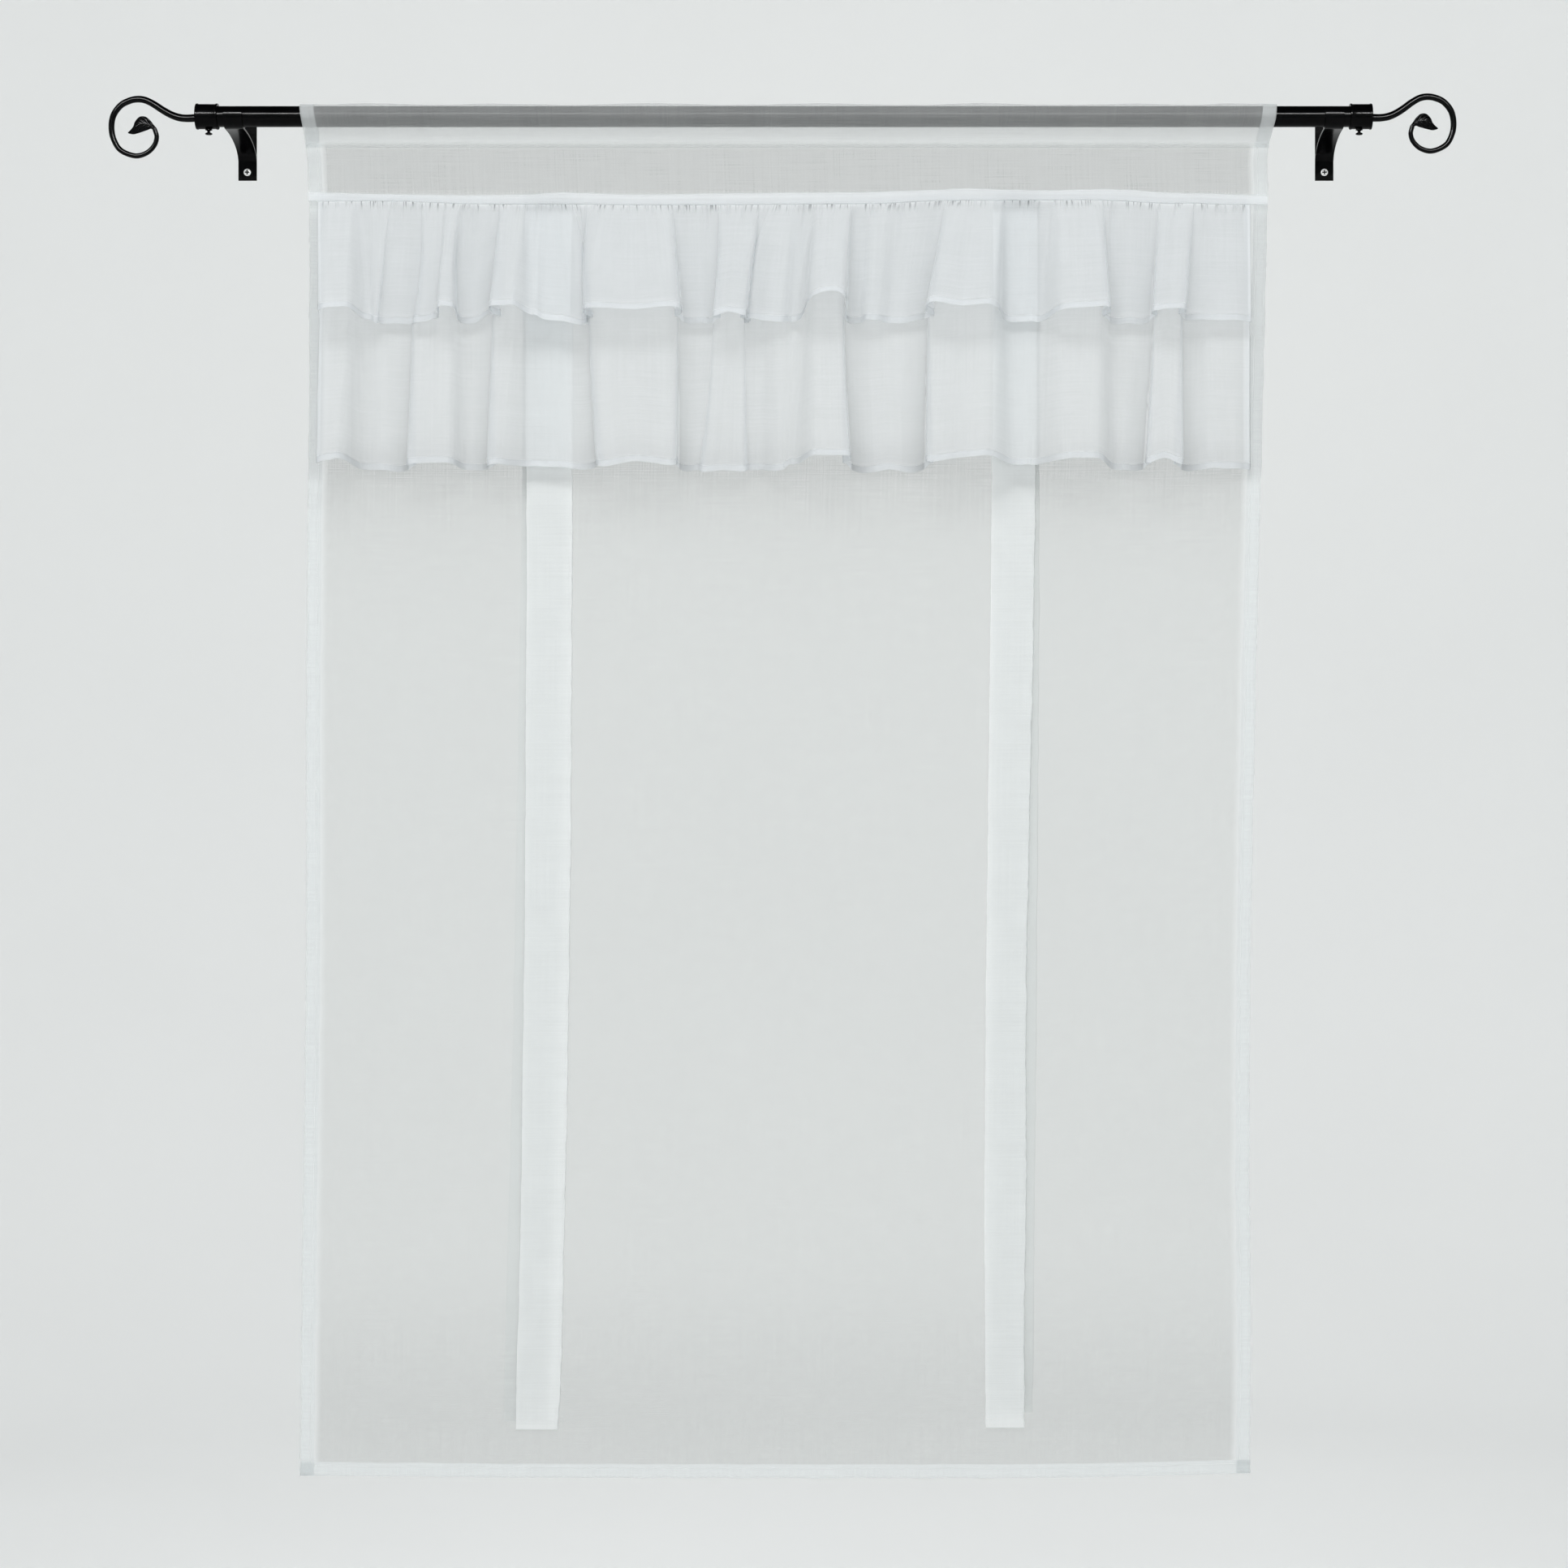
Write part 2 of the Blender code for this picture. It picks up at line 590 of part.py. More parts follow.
def build_cap(side, sign):
    """A finial's cap: a short cup over the rod's end, with a bead at each rim and a thumbscrew hole."""
    bore = ROD_RADIUS + GAP
    inner_end = CAP_INNER_END
    outer_end = CAP_OUTER_END
    ease = CAP_BEAD_RADIUS - CAP_RADIUS
    profile = [(outer_end - CAP_END_WALL, 0.0), (outer_end - CAP_END_WALL, bore), (inner_end, bore),
               (inner_end, CAP_RADIUS), (inner_end + ease, CAP_BEAD_RADIUS),
               (inner_end + CAP_BEAD_WIDTH - ease, CAP_BEAD_RADIUS),
               (inner_end + CAP_BEAD_WIDTH, CAP_RADIUS), (outer_end - CAP_BEAD_WIDTH, CAP_RADIUS),
               (outer_end - CAP_BEAD_WIDTH + ease, CAP_BEAD_RADIUS),
               (outer_end - ease, CAP_BEAD_RADIUS), (outer_end, CAP_RADIUS), (outer_end, 0.0)]
    cap = lathe(f"finial_cap_{side}", profile, CAP_SIDES, BLACK_METAL, False, rod_matrix(sign))
    x = sign * THUMBSCREW_X
    hole_top = Vector((x, -ROD_DEPTH, ROD_HEIGHT - ROD_RADIUS + 0.002))
    hole_foot = Vector((x, -ROD_DEPTH, ROD_HEIGHT - CAP_BEAD_RADIUS - 0.003))
    cut(cap, f"cap_hole_{side}", cylinder_mesh(THUMBSCREW_SHANK_RADIUS + GAP, hole_top, hole_foot, 12))


def build_thumbscrew(side, sign):
    """A thumbscrew under the cap: its shank reaches the rod, with a flange, a neck and a round head."""
    tip = ROD_RADIUS + GAP
    under_cap = CAP_RADIUS + GAP
    shank = THUMBSCREW_SHANK_RADIUS
    head = THUMBSCREW_HEAD_RADIUS
    profile = [(tip, 0.0), (tip, shank), (under_cap, shank), (under_cap, head),
               (under_cap + 0.0008, head - 0.0003), (under_cap + 0.0019, shank + 0.0002),
               (under_cap + 0.0028, shank + 0.0002), (under_cap + 0.0038, head - 0.0006),
               (under_cap + 0.0046, head), (under_cap + 0.0056, head - 0.0006), (under_cap + 0.0060, 0.0)]
    place = Matrix.Translation((sign * THUMBSCREW_X, -ROD_DEPTH, ROD_HEIGHT))
    lathe(f"thumbscrew_{side}", profile, THUMBSCREW_SIDES, BLACK_METAL, False,
          place @ Matrix.Rotation(math.pi / 2, 4, "Y"))


def finial_point(side, sign, outward, up, forward=0.0):
    """A point of a finial, given in its own plane in millimetres from the middle of the cap's end."""
    tilt = math.radians(SCROLL_TILT_DEG[side])
    outward = outward * SCROLL_SIZE[side]
    up = up * SCROLL_SIZE[side]
    turned_out = outward * math.cos(tilt) - up * math.sin(tilt)
    turned_up = outward * math.sin(tilt) + up * math.cos(tilt)
    across = sign * (CAP_OUTER_END + turned_out * MM)
    return Vector((across, -ROD_DEPTH - forward * MM, ROD_HEIGHT + turned_up * MM))


def smooth_line(points, count):
    """Reads a smooth curve through the points at even steps."""
    dense = []
    padded = [points[0] * 2 - points[1]] + list(points) + [points[-1] * 2 - points[-2]]
    for before, start, end, after in zip(padded, padded[1:], padded[2:], padded[3:]):
        for i in range(12):
            t = i / 12
            linear = end - before
            square = 2 * before - 5 * start + 4 * end - after
            cubic = 3 * start - before - 3 * end + after
            dense.append(0.5 * (2 * start + linear * t + square * t ** 2 + cubic * t ** 3))
    dense.append(points[-1])
    lengths = [0.0]
    for start, end in zip(dense, dense[1:]):
        lengths.append(lengths[-1] + (end - start).length)
    line = []
    segment = 0
    for i in range(count):
        target = lengths[-1] * i / (count - 1)
        while segment < len(lengths) - 2 and lengths[segment + 1] < target:
            segment += 1
        share = (target - lengths[segment]) / (lengths[segment + 1] - lengths[segment])
        line.append(dense[segment].lerp(dense[segment + 1], min(1.0, share)))
    return line


def build_scroll(side, sign):
    """A finial's scroll: a tapering round bar bent from the cap's end round to the leaf."""
    route = [finial_point(side, sign, outward, up) for outward, up in SCROLL_LINE]
    curve = bpy.data.curves.new(f"scroll_{side}", "CURVE")
    curve.dimensions = "3D"
    curve.bevel_depth = SCROLL_START_RADIUS
    curve.bevel_resolution = 2
    curve.use_fill_caps = True
    spline = curve.splines.new("POLY")
    points = smooth_line(route, SCROLL_RINGS)
    spline.points.add(len(points) - 1)
    for i, point in enumerate(points):
        radius = blend(SCROLL_START_RADIUS, SCROLL_END_RADIUS, i / (len(points) - 1))
        spline.points[i].co = (*point, 1.0)
        spline.points[i].radius = radius / SCROLL_START_RADIUS
    curve.materials.append(material(BLACK_METAL))
    item = bpy.data.objects.new(f"scroll_{side}", curve)
    bpy.context.collection.objects.link(item)


def build_leaf(side, sign):
    """The leaf at the scroll's end: six-sided sections that swell to a midrib and thin to the edges."""
    bm = bmesh.new()
    rings = []
    for upper, lower, half in LEAF_SECTIONS:
        middle = ((upper[0] + lower[0]) / 2, (upper[1] + lower[1]) / 2)
        ring = []
        edge = LEAF_EDGE_HALF_THICKNESS
        for (outward, up), forward in ((upper, edge), (middle, half), (lower, edge),
                                       (lower, -edge), (middle, -half), (upper, -edge)):
            ring.append(bm.verts.new(finial_point(side, sign, outward, up, forward)))
        rings.append(ring)
    for near, far in zip(rings, rings[1:]):
        for i in range(6):
            after = (i + 1) % 6
            bm.faces.new([near[i], near[after], far[after], far[i]])
    bm.faces.new(rings[0])
    bm.faces.new(list(reversed(rings[-1])))
    add_object(f"leaf_{side}", bm, BLACK_METAL, 60)


def bracket_outline():
    """The bracket's side view as (forward, up) points: plate, arm and cradle in one outline."""
    inner = ROD_RADIUS + GAP
    outer = inner + STRAP_THICKNESS
    arm_reach = ROD_DEPTH - STRAP_THICKNESS
    arm_rise = ROD_HEIGHT - inner - STRAP_THICKNESS / 2 - ARM_ROOT_HEIGHT
    steps = 8

    def arm_point(turn, offset):
        """A point of the arm's quarter ellipse, at a turn from its root, moved square to it."""
        forward = ROD_DEPTH - arm_reach * math.cos(turn)
        up = ARM_ROOT_HEIGHT + arm_rise * math.sin(turn)
        slope = Vector((arm_reach * math.sin(turn), arm_rise * math.cos(turn))).normalized()
        return Vector((forward - slope.y * offset, up + slope.x * offset))

    def cradle_point(angle, radius):
        return Vector((ROD_DEPTH + radius * math.sin(angle), ROD_HEIGHT - radius * math.cos(angle)))

    half = STRAP_THICKNESS / 2
    lip_outer = math.pi / 2 + math.asin(CRADLE_LIP_RISE / outer)
    lip_inner = math.pi / 2 + math.asin(CRADLE_LIP_RISE / inner)
    outline = [Vector((0.0, PLATE_BOTTOM)), Vector((STRAP_THICKNESS, PLATE_BOTTOM))]
    outline.append(Vector((STRAP_THICKNESS, ARM_ROOT_HEIGHT)))
    under_turns = [blend(ARM_UNDERSIDE_ROOT, math.pi / 2, (i / steps) ** 1.2) for i in range(steps + 1)]
    outline += [arm_point(turn, -half) for turn in under_turns]
    outline += [cradle_point(blend(0.0, lip_outer, i / 6), outer) for i in range(1, 7)]
    outline += [cradle_point(blend(lip_inner, -lip_inner, i / 14), inner) for i in range(15)]
    outline += [cradle_point(blend(-lip_outer, -CRADLE_BACK_MEETS_ARM, i / 4), outer) for i in range(5)]
    top_turns = [blend(ARM_TOP_END, ARM_TOP_ROOT, i / 6) for i in range(7)]
    outline += [arm_point(turn, half) for turn in top_turns]
    outline.append(Vector((STRAP_THICKNESS, ARM_ROOT_HEIGHT + ARM_FILLET)))
    outline.append(Vector((STRAP_THICKNESS, PLATE_TOP)))
    outline.append(Vector((0.0, PLATE_TOP)))
    return [Vector((0.0, -point.x, point.y)) for point in outline]


def build_bracket(side, sign):
    middle = sign * BRACKET_X
    start = Vector((middle - STRAP_WIDTH / 2, 0.0, 0.0))
    end = Vector((middle + STRAP_WIDTH / 2, 0.0, 0.0))
    bracket = prism(f"bracket_{side}", bracket_outline(), start, end, BLACK_METAL)
    hole_front = Vector((middle, -STRAP_THICKNESS - 0.001, 0.0))
    hole_back = Vector((middle, 0.001, 0.0))
    cut(bracket, f"bracket_hole_{side}", cylinder_mesh(SCREW_SHANK_RADIUS + GAP, hole_front, hole_back, 16))


def build_screw(side, sign):
    """A cross-head screw: a domed head against the plate and a shank through its hole to the wall plane."""
    seat = STRAP_THICKNESS + GAP
    head = SCREW_HEAD_RADIUS
    rise = SCREW_HEAD_HEIGHT
    profile = [(0.0, 0.0), (0.0, SCREW_SHANK_RADIUS), (seat, SCREW_SHANK_RADIUS), (seat, head),
               (seat + 0.35 * rise, head), (seat + 0.70 * rise, 0.82 * head),
               (seat + 0.92 * rise, 0.5 * head), (seat + rise, 0.0)]
    turn = Matrix.Rotation(-math.pi / 2, 4, "Z")
    place = Matrix.Translation((sign * BRACKET_X, 0.0, 0.0)) @ turn
    screw = lathe(f"screw_{side}", profile, SCREW_SIDES, NICKEL, False, place)
    arm = RECESS_ARM
    half = RECESS_HALF_WIDTH
    corners = ((half, half), (half, arm), (-half, arm), (-half, half), (-arm, half), (-arm, -half),
               (-half, -half), (-half, -arm), (half, -arm), (half, -half), (arm, -half), (arm, half))
    outline = [Vector((x, 0.0, z)) for x, z in corners]
    recess_floor = Vector((sign * BRACKET_X, -seat - rise + RECESS_DEPTH, 0.0))
    recess_mouth = Vector((sign * BRACKET_X, -seat - rise - RECESS_DEPTH, 0.0))
    cut(screw, f"screw_recess_{side}", prism(None, outline, recess_floor, recess_mouth, NICKEL))


def build():
    remove_default_objects()
    build_panel()
    build_band()
    build_tier(UPPER_TIER)
    build_tier(LOWER_TIER)
    for tie in TIES:
        build_tie(tie)
    build_rod()
    for side, sign in (("left", -1), ("right", 1)):
        build_cap(side, sign)
        build_thumbscrew(side, sign)
        build_scroll(side, sign)
        build_leaf(side, sign)
        build_bracket(side, sign)
        build_screw(side, sign)


build()
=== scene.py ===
"""The looks of a sheer tie-up shade on a black rod with scroll finials.

Metres, +Z up, front towards -Y. The origin lies in the plane of the brackets' backs, midway between their two
screws. Depths of the cloth layers are given forward of the rod's middle, which lies ROD_DEPTH in front of it.
"""

import math
from collections import namedtuple

import bmesh
import bpy
import numpy as np
from mathutils import Matrix, Vector


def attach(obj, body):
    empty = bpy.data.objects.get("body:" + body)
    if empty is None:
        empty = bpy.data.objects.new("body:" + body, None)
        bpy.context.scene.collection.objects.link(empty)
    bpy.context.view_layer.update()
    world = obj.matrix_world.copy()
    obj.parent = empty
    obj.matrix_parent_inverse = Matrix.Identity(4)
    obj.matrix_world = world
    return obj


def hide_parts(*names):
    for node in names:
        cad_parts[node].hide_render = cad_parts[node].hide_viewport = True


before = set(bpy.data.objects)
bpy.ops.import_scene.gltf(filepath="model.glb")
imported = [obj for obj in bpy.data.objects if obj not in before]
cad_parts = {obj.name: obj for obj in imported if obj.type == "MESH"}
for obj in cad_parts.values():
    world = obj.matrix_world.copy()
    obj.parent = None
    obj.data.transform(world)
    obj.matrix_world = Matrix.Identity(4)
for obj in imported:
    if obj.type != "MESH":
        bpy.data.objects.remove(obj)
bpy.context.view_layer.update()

MM = 0.001
FRONT = np.array([0.0, -1.0, 0.0])

# Rod, caps and brackets, in metres
ROD_DEPTH = 0.080
ROD_HEIGHT = 0.0455
ROD_RADIUS = 0.011
ROD_WALL = 0.001
ROD_HALF_LENGTH = 0.612
GAP = 0.0003
CAP_INNER_END = 0.596
CAP_OUTER_END = 0.619
CAP_RADIUS = 0.01325
CAP_BEAD_RADIUS = 0.0137
CAP_BEAD_WIDTH = 0.0022
THUMBSCREW_X = 0.606
SCROLL_START_RADIUS = 0.0041
SCROLL_END_RADIUS = 0.0024
SCROLL_TILT_DEG = {"left": -1.6, "right": 1.6}
SCROLL_SIZE = {"left": 1.02, "right": 0.98}
BRACKET_X = 0.579
STRAP_WIDTH = 0.0198
STRAP_THICKNESS = 0.002
PLATE_BOTTOM = -0.0087
PLATE_TOP = 0.063
ARM_ROOT_HEIGHT = 0.012
CRADLE_LIP_RISE = 0.003
CRADLE_BACK_MEETS_ARM = 0.52
ARM_UNDERSIDE_ROOT = 0.16
ARM_TOP_ROOT = 0.30
ARM_TOP_END = 1.42
ARM_FILLET = 0.0085
SCREW_HEAD_RADIUS = 0.0038
SCREW_HEAD_HEIGHT = 0.0024
SCREW_SHANK_RADIUS = 0.0020
RECESS_ARM = 0.0023
RECESS_HALF_WIDTH = 0.00062
RECESS_DEPTH = 0.0012

# Cloth, in millimetres, apart from RISE_PER_DEPTH, the share of a fold's depth by which its foot shows higher
SIDE_HEM = 14.8
BOTTOM_HEM = 14.5
HEM_EASE = 0.8
PANEL_FORWARD = 0.3
PANEL_FOOT_Z = -1389.0
POCKET_SEAM_Z = 16.0
POCKET_CLEARANCE = 0.7
BAND_FORWARD = 4.9
BAND_EDGES = (-500.5, 509.0)
RUFFLE_TOP_Z = -46.8
RUFFLE_HEM = 7.5
RISE_PER_DEPTH = 0.29
EDGE_TURN = 1.0
WIDE_FOLD = 26.0
WIDE_VALLEY = 24.0
TIE_TURNING = 5.0
STITCH_PITCH = 2.6
STITCH_LENGTH = 1.9
STITCH_RADIUS = 0.17
STITCH_LIFT = 0.12
THREAD_OFF = 0.12

# How finely the pieces are divided
PANEL_COLUMNS = 158
PANEL_ROWS = 262
POCKET_STEPS = 34
TIER_ROW_STEP = 5.6
SCROLL_SIDES = 28

# Side edges of the panel, in millimetres: height, left edge, right edge
PANEL_EDGES = (
    (60, -510.0, 519.0), (34, -506.0, 516.0), (16, -504.0, 511.0), (-37, -501.0, 510.0),
    (-174, -500.2, 506.5), (-345, -501.5, 502.5), (-600, -503.6, 496.3), (-860, -503.8, 491.5),
    (-1115, -507.0, 491.0), (-1240, -508.4, 492.3), (-1354, -509.2, 491.2), (-1390, -510.0, 491.0),
)

# Bottom edge of the panel, in millimetres: place across, height
PANEL_FOOT = (
    (-510, -1386.0), (-407, -1387.5), (-200, -1388.5), (50, -1389.0), (345, -1387.5), (422, -1385.5),
    (491, -1384.3),
)

# Soft waves of the hanging panel, in millimetres
Wave = namedtuple("Wave", "across lean half_width forward middle half_height")
PANEL_WAVES = (
    Wave(-410, -15, 60, 3.5, -900, 560),
    Wave(-150, -20, 90, -3.0, -980, 520),
    Wave(90, -10, 100, 3.5, -1020, 500),
    Wave(330, -25, 70, -3.0, -860, 480),
    Wave(450, -10, 35, 4.0, -760, 300),
)

# Puckers where the pocket rides over the rod, in millimetres: place across, half width, lift
POCKET_PUCKERS = (
    (-430, 60, 1.6), (-300, 70, 1.2), (-140, 80, 1.8), (40, 90, 1.5), (210, 70, 1.9), (370, 60, 1.4),
    (470, 45, 1.2),
)

# Stitch puckers of the panel's side hems, in millimetres: side, height, half length, depth
HEM_PUCKERS = (
    (1, -150, 70, 0.5), (1, -395, 45, 1.3), (1, -530, 60, 0.8), (1, -735, 60, 0.6), (1, -980, 80, 0.8),
    (1, -1137, 50, 1.2), (1, -1270, 50, 0.8), (1, -1358, 25, 1.2), (-1, -120, 60, 0.5),
    (-1, -420, 80, 0.5), (-1, -700, 70, 0.6), (-1, -940, 70, 0.7), (-1, -1180, 80, 0.7),
    (-1, -1340, 40, 0.8),
)

# Ties, in millimetres. Edges: height, left edge, right edge. Offsets are forward of the panel's middle.
Tie = namedtuple("Tie", "name edges seam_offset foot_offset")
TIES = (
    Tie("tie_front_left", (
        (-46.8, -271.5, -222.5), (-345, -271.0, -222.3), (-943, -274.5, -227.4),
        (-1114, -277.0, -230.9), (-1285, -281.3, -235.1), (-1337, -282.2, -237.7)), 1.3, 2.6),
    Tie("tie_front_right", (
        (-46.8, 219.5, 267.0), (-345, 218.9, 265.0), (-943, 212.0, 254.8),
        (-1114, 211.2, 254.8), (-1285, 212.0, 253.0), (-1335, 212.6, 253.8)), 1.3, 2.6),
    Tie("tie_back_left", (
        (-40.0, -275.0, -228.0), (-345, -276.2, -228.2), (-687, -282.2, -234.2),
        (-943, -286.4, -238.4), (-1114, -290.7, -243.0), (-1330, -296.0, -248.5)), -1.8, -3.6),
    Tie("tie_back_right", (
        (-40.0, 222.0, 270.0), (-345, 221.0, 269.3), (-600, 220.5, 268.5),
        (-943, 218.0, 265.9), (-1114, 216.5, 264.2), (-1320, 214.5, 262.2)), -1.8, -3.6),
)

# Valance folds, in millimetres, left to right: the two edges of each fold at the seam and at the hem, how
# far it stands out, how far the cloth turns under at each edge (0 is a sloping edge), how far out the dip to
# its right lies, and how wide the slopes at its edges run at the hem. The rest shape its hem and its edges:
# how much higher the hem hangs at each edge and at the middle, how high the valley on the left rises where it
# meets the fold, and how far each edge bows to the right halfway down.
Fold = namedtuple("Fold", "top_left top_right foot_left foot_right depth under_left under_right dip "
                          "run_left run_right lift lift_right crown tuck bow_left bow_right",
                  defaults=(4, 4, 0, 0, 0, 0, 0, 0))
UPPER_FOLDS = (
    Fold(-490, -451, -484, -445, 36, 0, 0, 8, run_right=22, lift_right=2),
    Fold(-436, -415, -430, -424, 12, 0, 4, 0, lift=-4, lift_right=-5),
    Fold(-381, -364, -388, -367, 13, 5, 0, 12, run_right=3, lift=-3.5, lift_right=-2, bow_left=4),
    Fold(-356, -339, -361, -341, 34, 0, 0, 0, run_left=5, run_right=9, lift=3, lift_right=3, bow_right=-4),
    Fold(-298, -270, -306, -272, 38, 7, 0, 20, run_right=22, lift=1, lift_right=3, tuck=9),
    Fold(-255, -221, -255, -206, 17, 0, 5, 0, run_left=6, lift=-2, lift_right=-8, bow_right=4),
    Fold(-205, -118, -208, -105, 34, 6, 7, 0, lift=-0.5, bow_left=-3),
    Fold(-68, -26, -74, -38, 28, 6, 5, 0, lift=-4, lift_right=-3, crown=3, bow_left=2),
    Fold(-14, 12, -40, 3, 10, 5, 0, 3, run_right=8, lift_right=-3, bow_left=-6),
    Fold(33, 72, 22, 66, 44, 0, 0, 0, run_left=24, run_right=8, lift=11, lift_right=12, crown=3),
    Fold(89, 115, 84, 103, 9, 0, 0, 0, run_left=8, run_right=14, lift_right=-1),
    Fold(171, 231, 148, 228, 37, 7, 0, 4, run_right=18, lift=2.5, lift_right=3, tuck=4),
    Fold(284, 335, 280, 342, 35, 0, 5, 0, run_left=26, lift_right=1),
    Fold(395, 431, 384, 420, 35, 5, 5, 8, lift=-2, crown=1),
    Fold(446, 491, 445, 490.5, 7, 0, 0, 0, run_left=12),
)
LOWER_FOLDS = (
    Fold(-488, -451, -487, -454, 34, 0, 0, 0, run_right=26, lift=-4, lift_right=-1),
    Fold(-389, -347, -394, -341, 26, 6, 0, 0, run_right=18, lift=-2.5, lift_right=-2, bow_left=1),
    Fold(-302, -278, -310, -281, 26, 6, 0, 9, run_right=26, lift=-4, lift_right=-4),
    Fold(-205, -115, -195, -110, 30, 6, 5, 0, lift=-6, lift_right=-5, crown=3, bow_left=-4, bow_right=1),
    Fold(-74, -45, -89, -38, 8, 5, 4, 0, lift=-4, lift_right=-4, bow_left=7),
    Fold(-14, 16, -14, 4, 13, 0, 0, 14, run_left=24, run_right=4, lift=-5, lift_right=-3),
    Fold(31, 62, 22, 71, 39, 0, 6, 0, run_left=24, lift=0.5, bow_right=-3),
    Fold(155, 231, 148, 229, 36, 7, 0, 15, run_right=26, lift=-4, lift_right=1, crown=1),
    Fold(284, 338, 277, 339, 33, 0, 0, 0, run_left=32, run_right=24, lift=-1),
    Fold(399, 419, 378, 418, 33, 6, 6, 0, lift=-5, lift_right=-6, crown=5),
    Fold(440, 491, 442, 490.5, 4, 0, 0, 0, run_left=10),
)

# The valance's tiers, in millimetres: the hem's height in the valleys, how far the tier's middle lies forward
# at the seam and at the hem, the share of each fold's depth that is reached at shares of the drop, the widest
# step between its columns along the seam, how strong the painted shade in its valleys is, and its flat size
# in metres
Tier = namedtuple("Tier", "name folds hem_z seam_forward hem_forward opening step shade flat")
TIERS = (
    Tier("ruffle_upper", UPPER_FOLDS, -174.0, 4.6, 14.9, (
        (0.0, 0.0), (0.2, 0.26), (0.4, 0.46), (0.6, 0.65), (0.8, 0.83), (0.94, 0.95), (1.0, 1.0)), 0.75, 1.0,
        (1.60, 0.150)),
    Tier("ruffle_lower", LOWER_FOLDS, -327.5, 2.6, 8.0, (
        (0.0, 0.0), (0.23, 0.10), (0.45, 0.27), (0.6, 0.48), (0.75, 0.70), (0.90, 0.90), (0.973, 0.98),
        (1.0, 1.0)), 2.0, 1.9, (1.45, 0.305)),
)

# Rows of a tier, in millimetres below its seam, down to where they run on in even steps
TIER_ROWS = (-7.0, -4.5, -2.0, -0.6, 0.0, 0.5, 1.0, 1.6, 2.3, 3.1, 4.0, 5.0, 6.2, 7.6, 9.2, 11.0, 13.2, 16.0,
             19.5, 24.0, 29.5)

# Rows of a tier's hem, in millimetres: how far below the hem's top, and how far behind the front
TIER_HEM_ROWS = (
    (0.2, 0.0), (0.5, 0.0), (2.4, 0.0), (4.4, 0.0), (6.2, 0.0), (7.1, 0.0), (7.4, 0.12), (7.5, 0.35),
    (7.4, 0.58), (7.0, 0.7), (4.0, 0.7), (0.6, 0.7), (0.1, 0.52), (0.6, 0.35), (4.0, 0.35), (6.4, 0.35),
)

# The seam band's top and bottom edges, in millimetres: place across, height
BAND_TOP = (
    (-501, -34.5), (-415, -36.9), (-270, -36.9), (-236, -35.2), (-167, -37.0), (-56, -36.0), (29, -35.2),
    (98, -34.3), (157, -32.2), (192, -30.8), (243, -32.2), (285, -32.6), (328, -31.4), (371, -32.6),
    (397, -34.8), (440, -36.0), (510, -38.4),
)
BAND_FOOT = (
    (-501, -44.6), (-400, -44.8), (-340, -47.2), (-230, -47.8), (-150, -48.6), (-56, -48.4), (50, -47.6),
    (115, -46.7), (152, -44.4), (190, -43.9), (250, -43.7), (340, -43.8), (371, -45.4), (400, -47.0),
    (431, -46.8), (457, -47.8), (510, -48.2),
)

# The seam band from its upper raw edge round to its lower one: share of its height, mm behind its front
BAND_PROFILE = (
    (0.45, 0.5), (0.12, 0.5), (0.0, 0.25), (0.02, 0.0), (0.2, 0.0), (0.4, 0.0), (0.6, 0.0), (0.8, 0.0),
    (0.96, 0.05), (1.0, 0.3), (0.88, 0.5), (0.55, 0.5),
)

# A thumbscrew's outline below the cap, in millimetres: how far down, radius
THUMBSCREW_PROFILE = (
    (0.0, 1.3), (0.0, 3.6), (0.2, 3.8), (0.6, 3.8), (0.9, 3.4), (1.3, 2.2), (1.9, 1.5), (2.8, 1.5),
    (3.3, 2.2), (3.8, 3.2), (4.2, 3.7), (4.7, 3.8), (5.2, 3.6), (5.6, 3.0), (5.9, 1.8), (6.0, 0.0),
)

# Centre line of a finial's scroll, in millimetres from the middle of the cap's end: outward, up
SCROLL_LINE = (
    (0.6, -1.3), (9.5, -1.5), (18.0, -0.4), (26.5, 2.9), (35.2, 8.1), (43.7, 14.0), (52.2, 18.4),
    (60.0, 19.7), (68.4, 18.4), (78.0, 13.6), (85.6, 3.7), (88.0, -8.8), (86.0, -21.2), (79.0, -32.6),
    (64.5, -38.7), (52.4, -36.0), (44.3, -28.4), (41.6, -19.8), (43.5, -11.7),
)

# Sections of a leaf from its stem to its tip, in millimetres in the scroll's plane: upper edge (outward,
# up), lower edge (outward, up) and half thickness at the midrib
LEAF_SECTIONS = (
    ((41.4, -10.65), (45.9, -12.05), 1.8),
    ((44.4, -7.0), (47.6, -11.3), 1.9),
    ((47.6, -2.7), (50.5, -12.4), 2.1),
    ((52.6, 1.4), (54.5, -13.7), 2.4),
    ((58.7, 1.5), (58.5, -14.9), 2.5),
    ((63.6, -3.2), (62.5, -16.0), 2.2),
    ((65.3, -7.8), (65.7, -16.5), 1.8),
    ((68.0, -11.5), (69.2, -15.9), 1.3),
    ((70.9, -14.2), (71.1, -15.1), 0.7),
)


# Small maths
def blend(start, end, share):
    return start + (end - start) * share


def ease(value):
    """0 below 0, 1 above 1 and smooth between them."""
    value = np.clip(value, 0.0, 1.0)
    return value * value * (3.0 - 2.0 * value)


def between(place, low, low_soft, high, high_soft):
    """1 between two places, with a soft start of one length and a soft end of another."""
    return ease((place - low) / low_soft) * ease((high - place) / high_soft)


def bump(place, middle, half_width):
    reach = np.minimum(np.abs(place - middle) / half_width, 1.0)
    return 0.5 + 0.5 * np.cos(np.pi * reach)


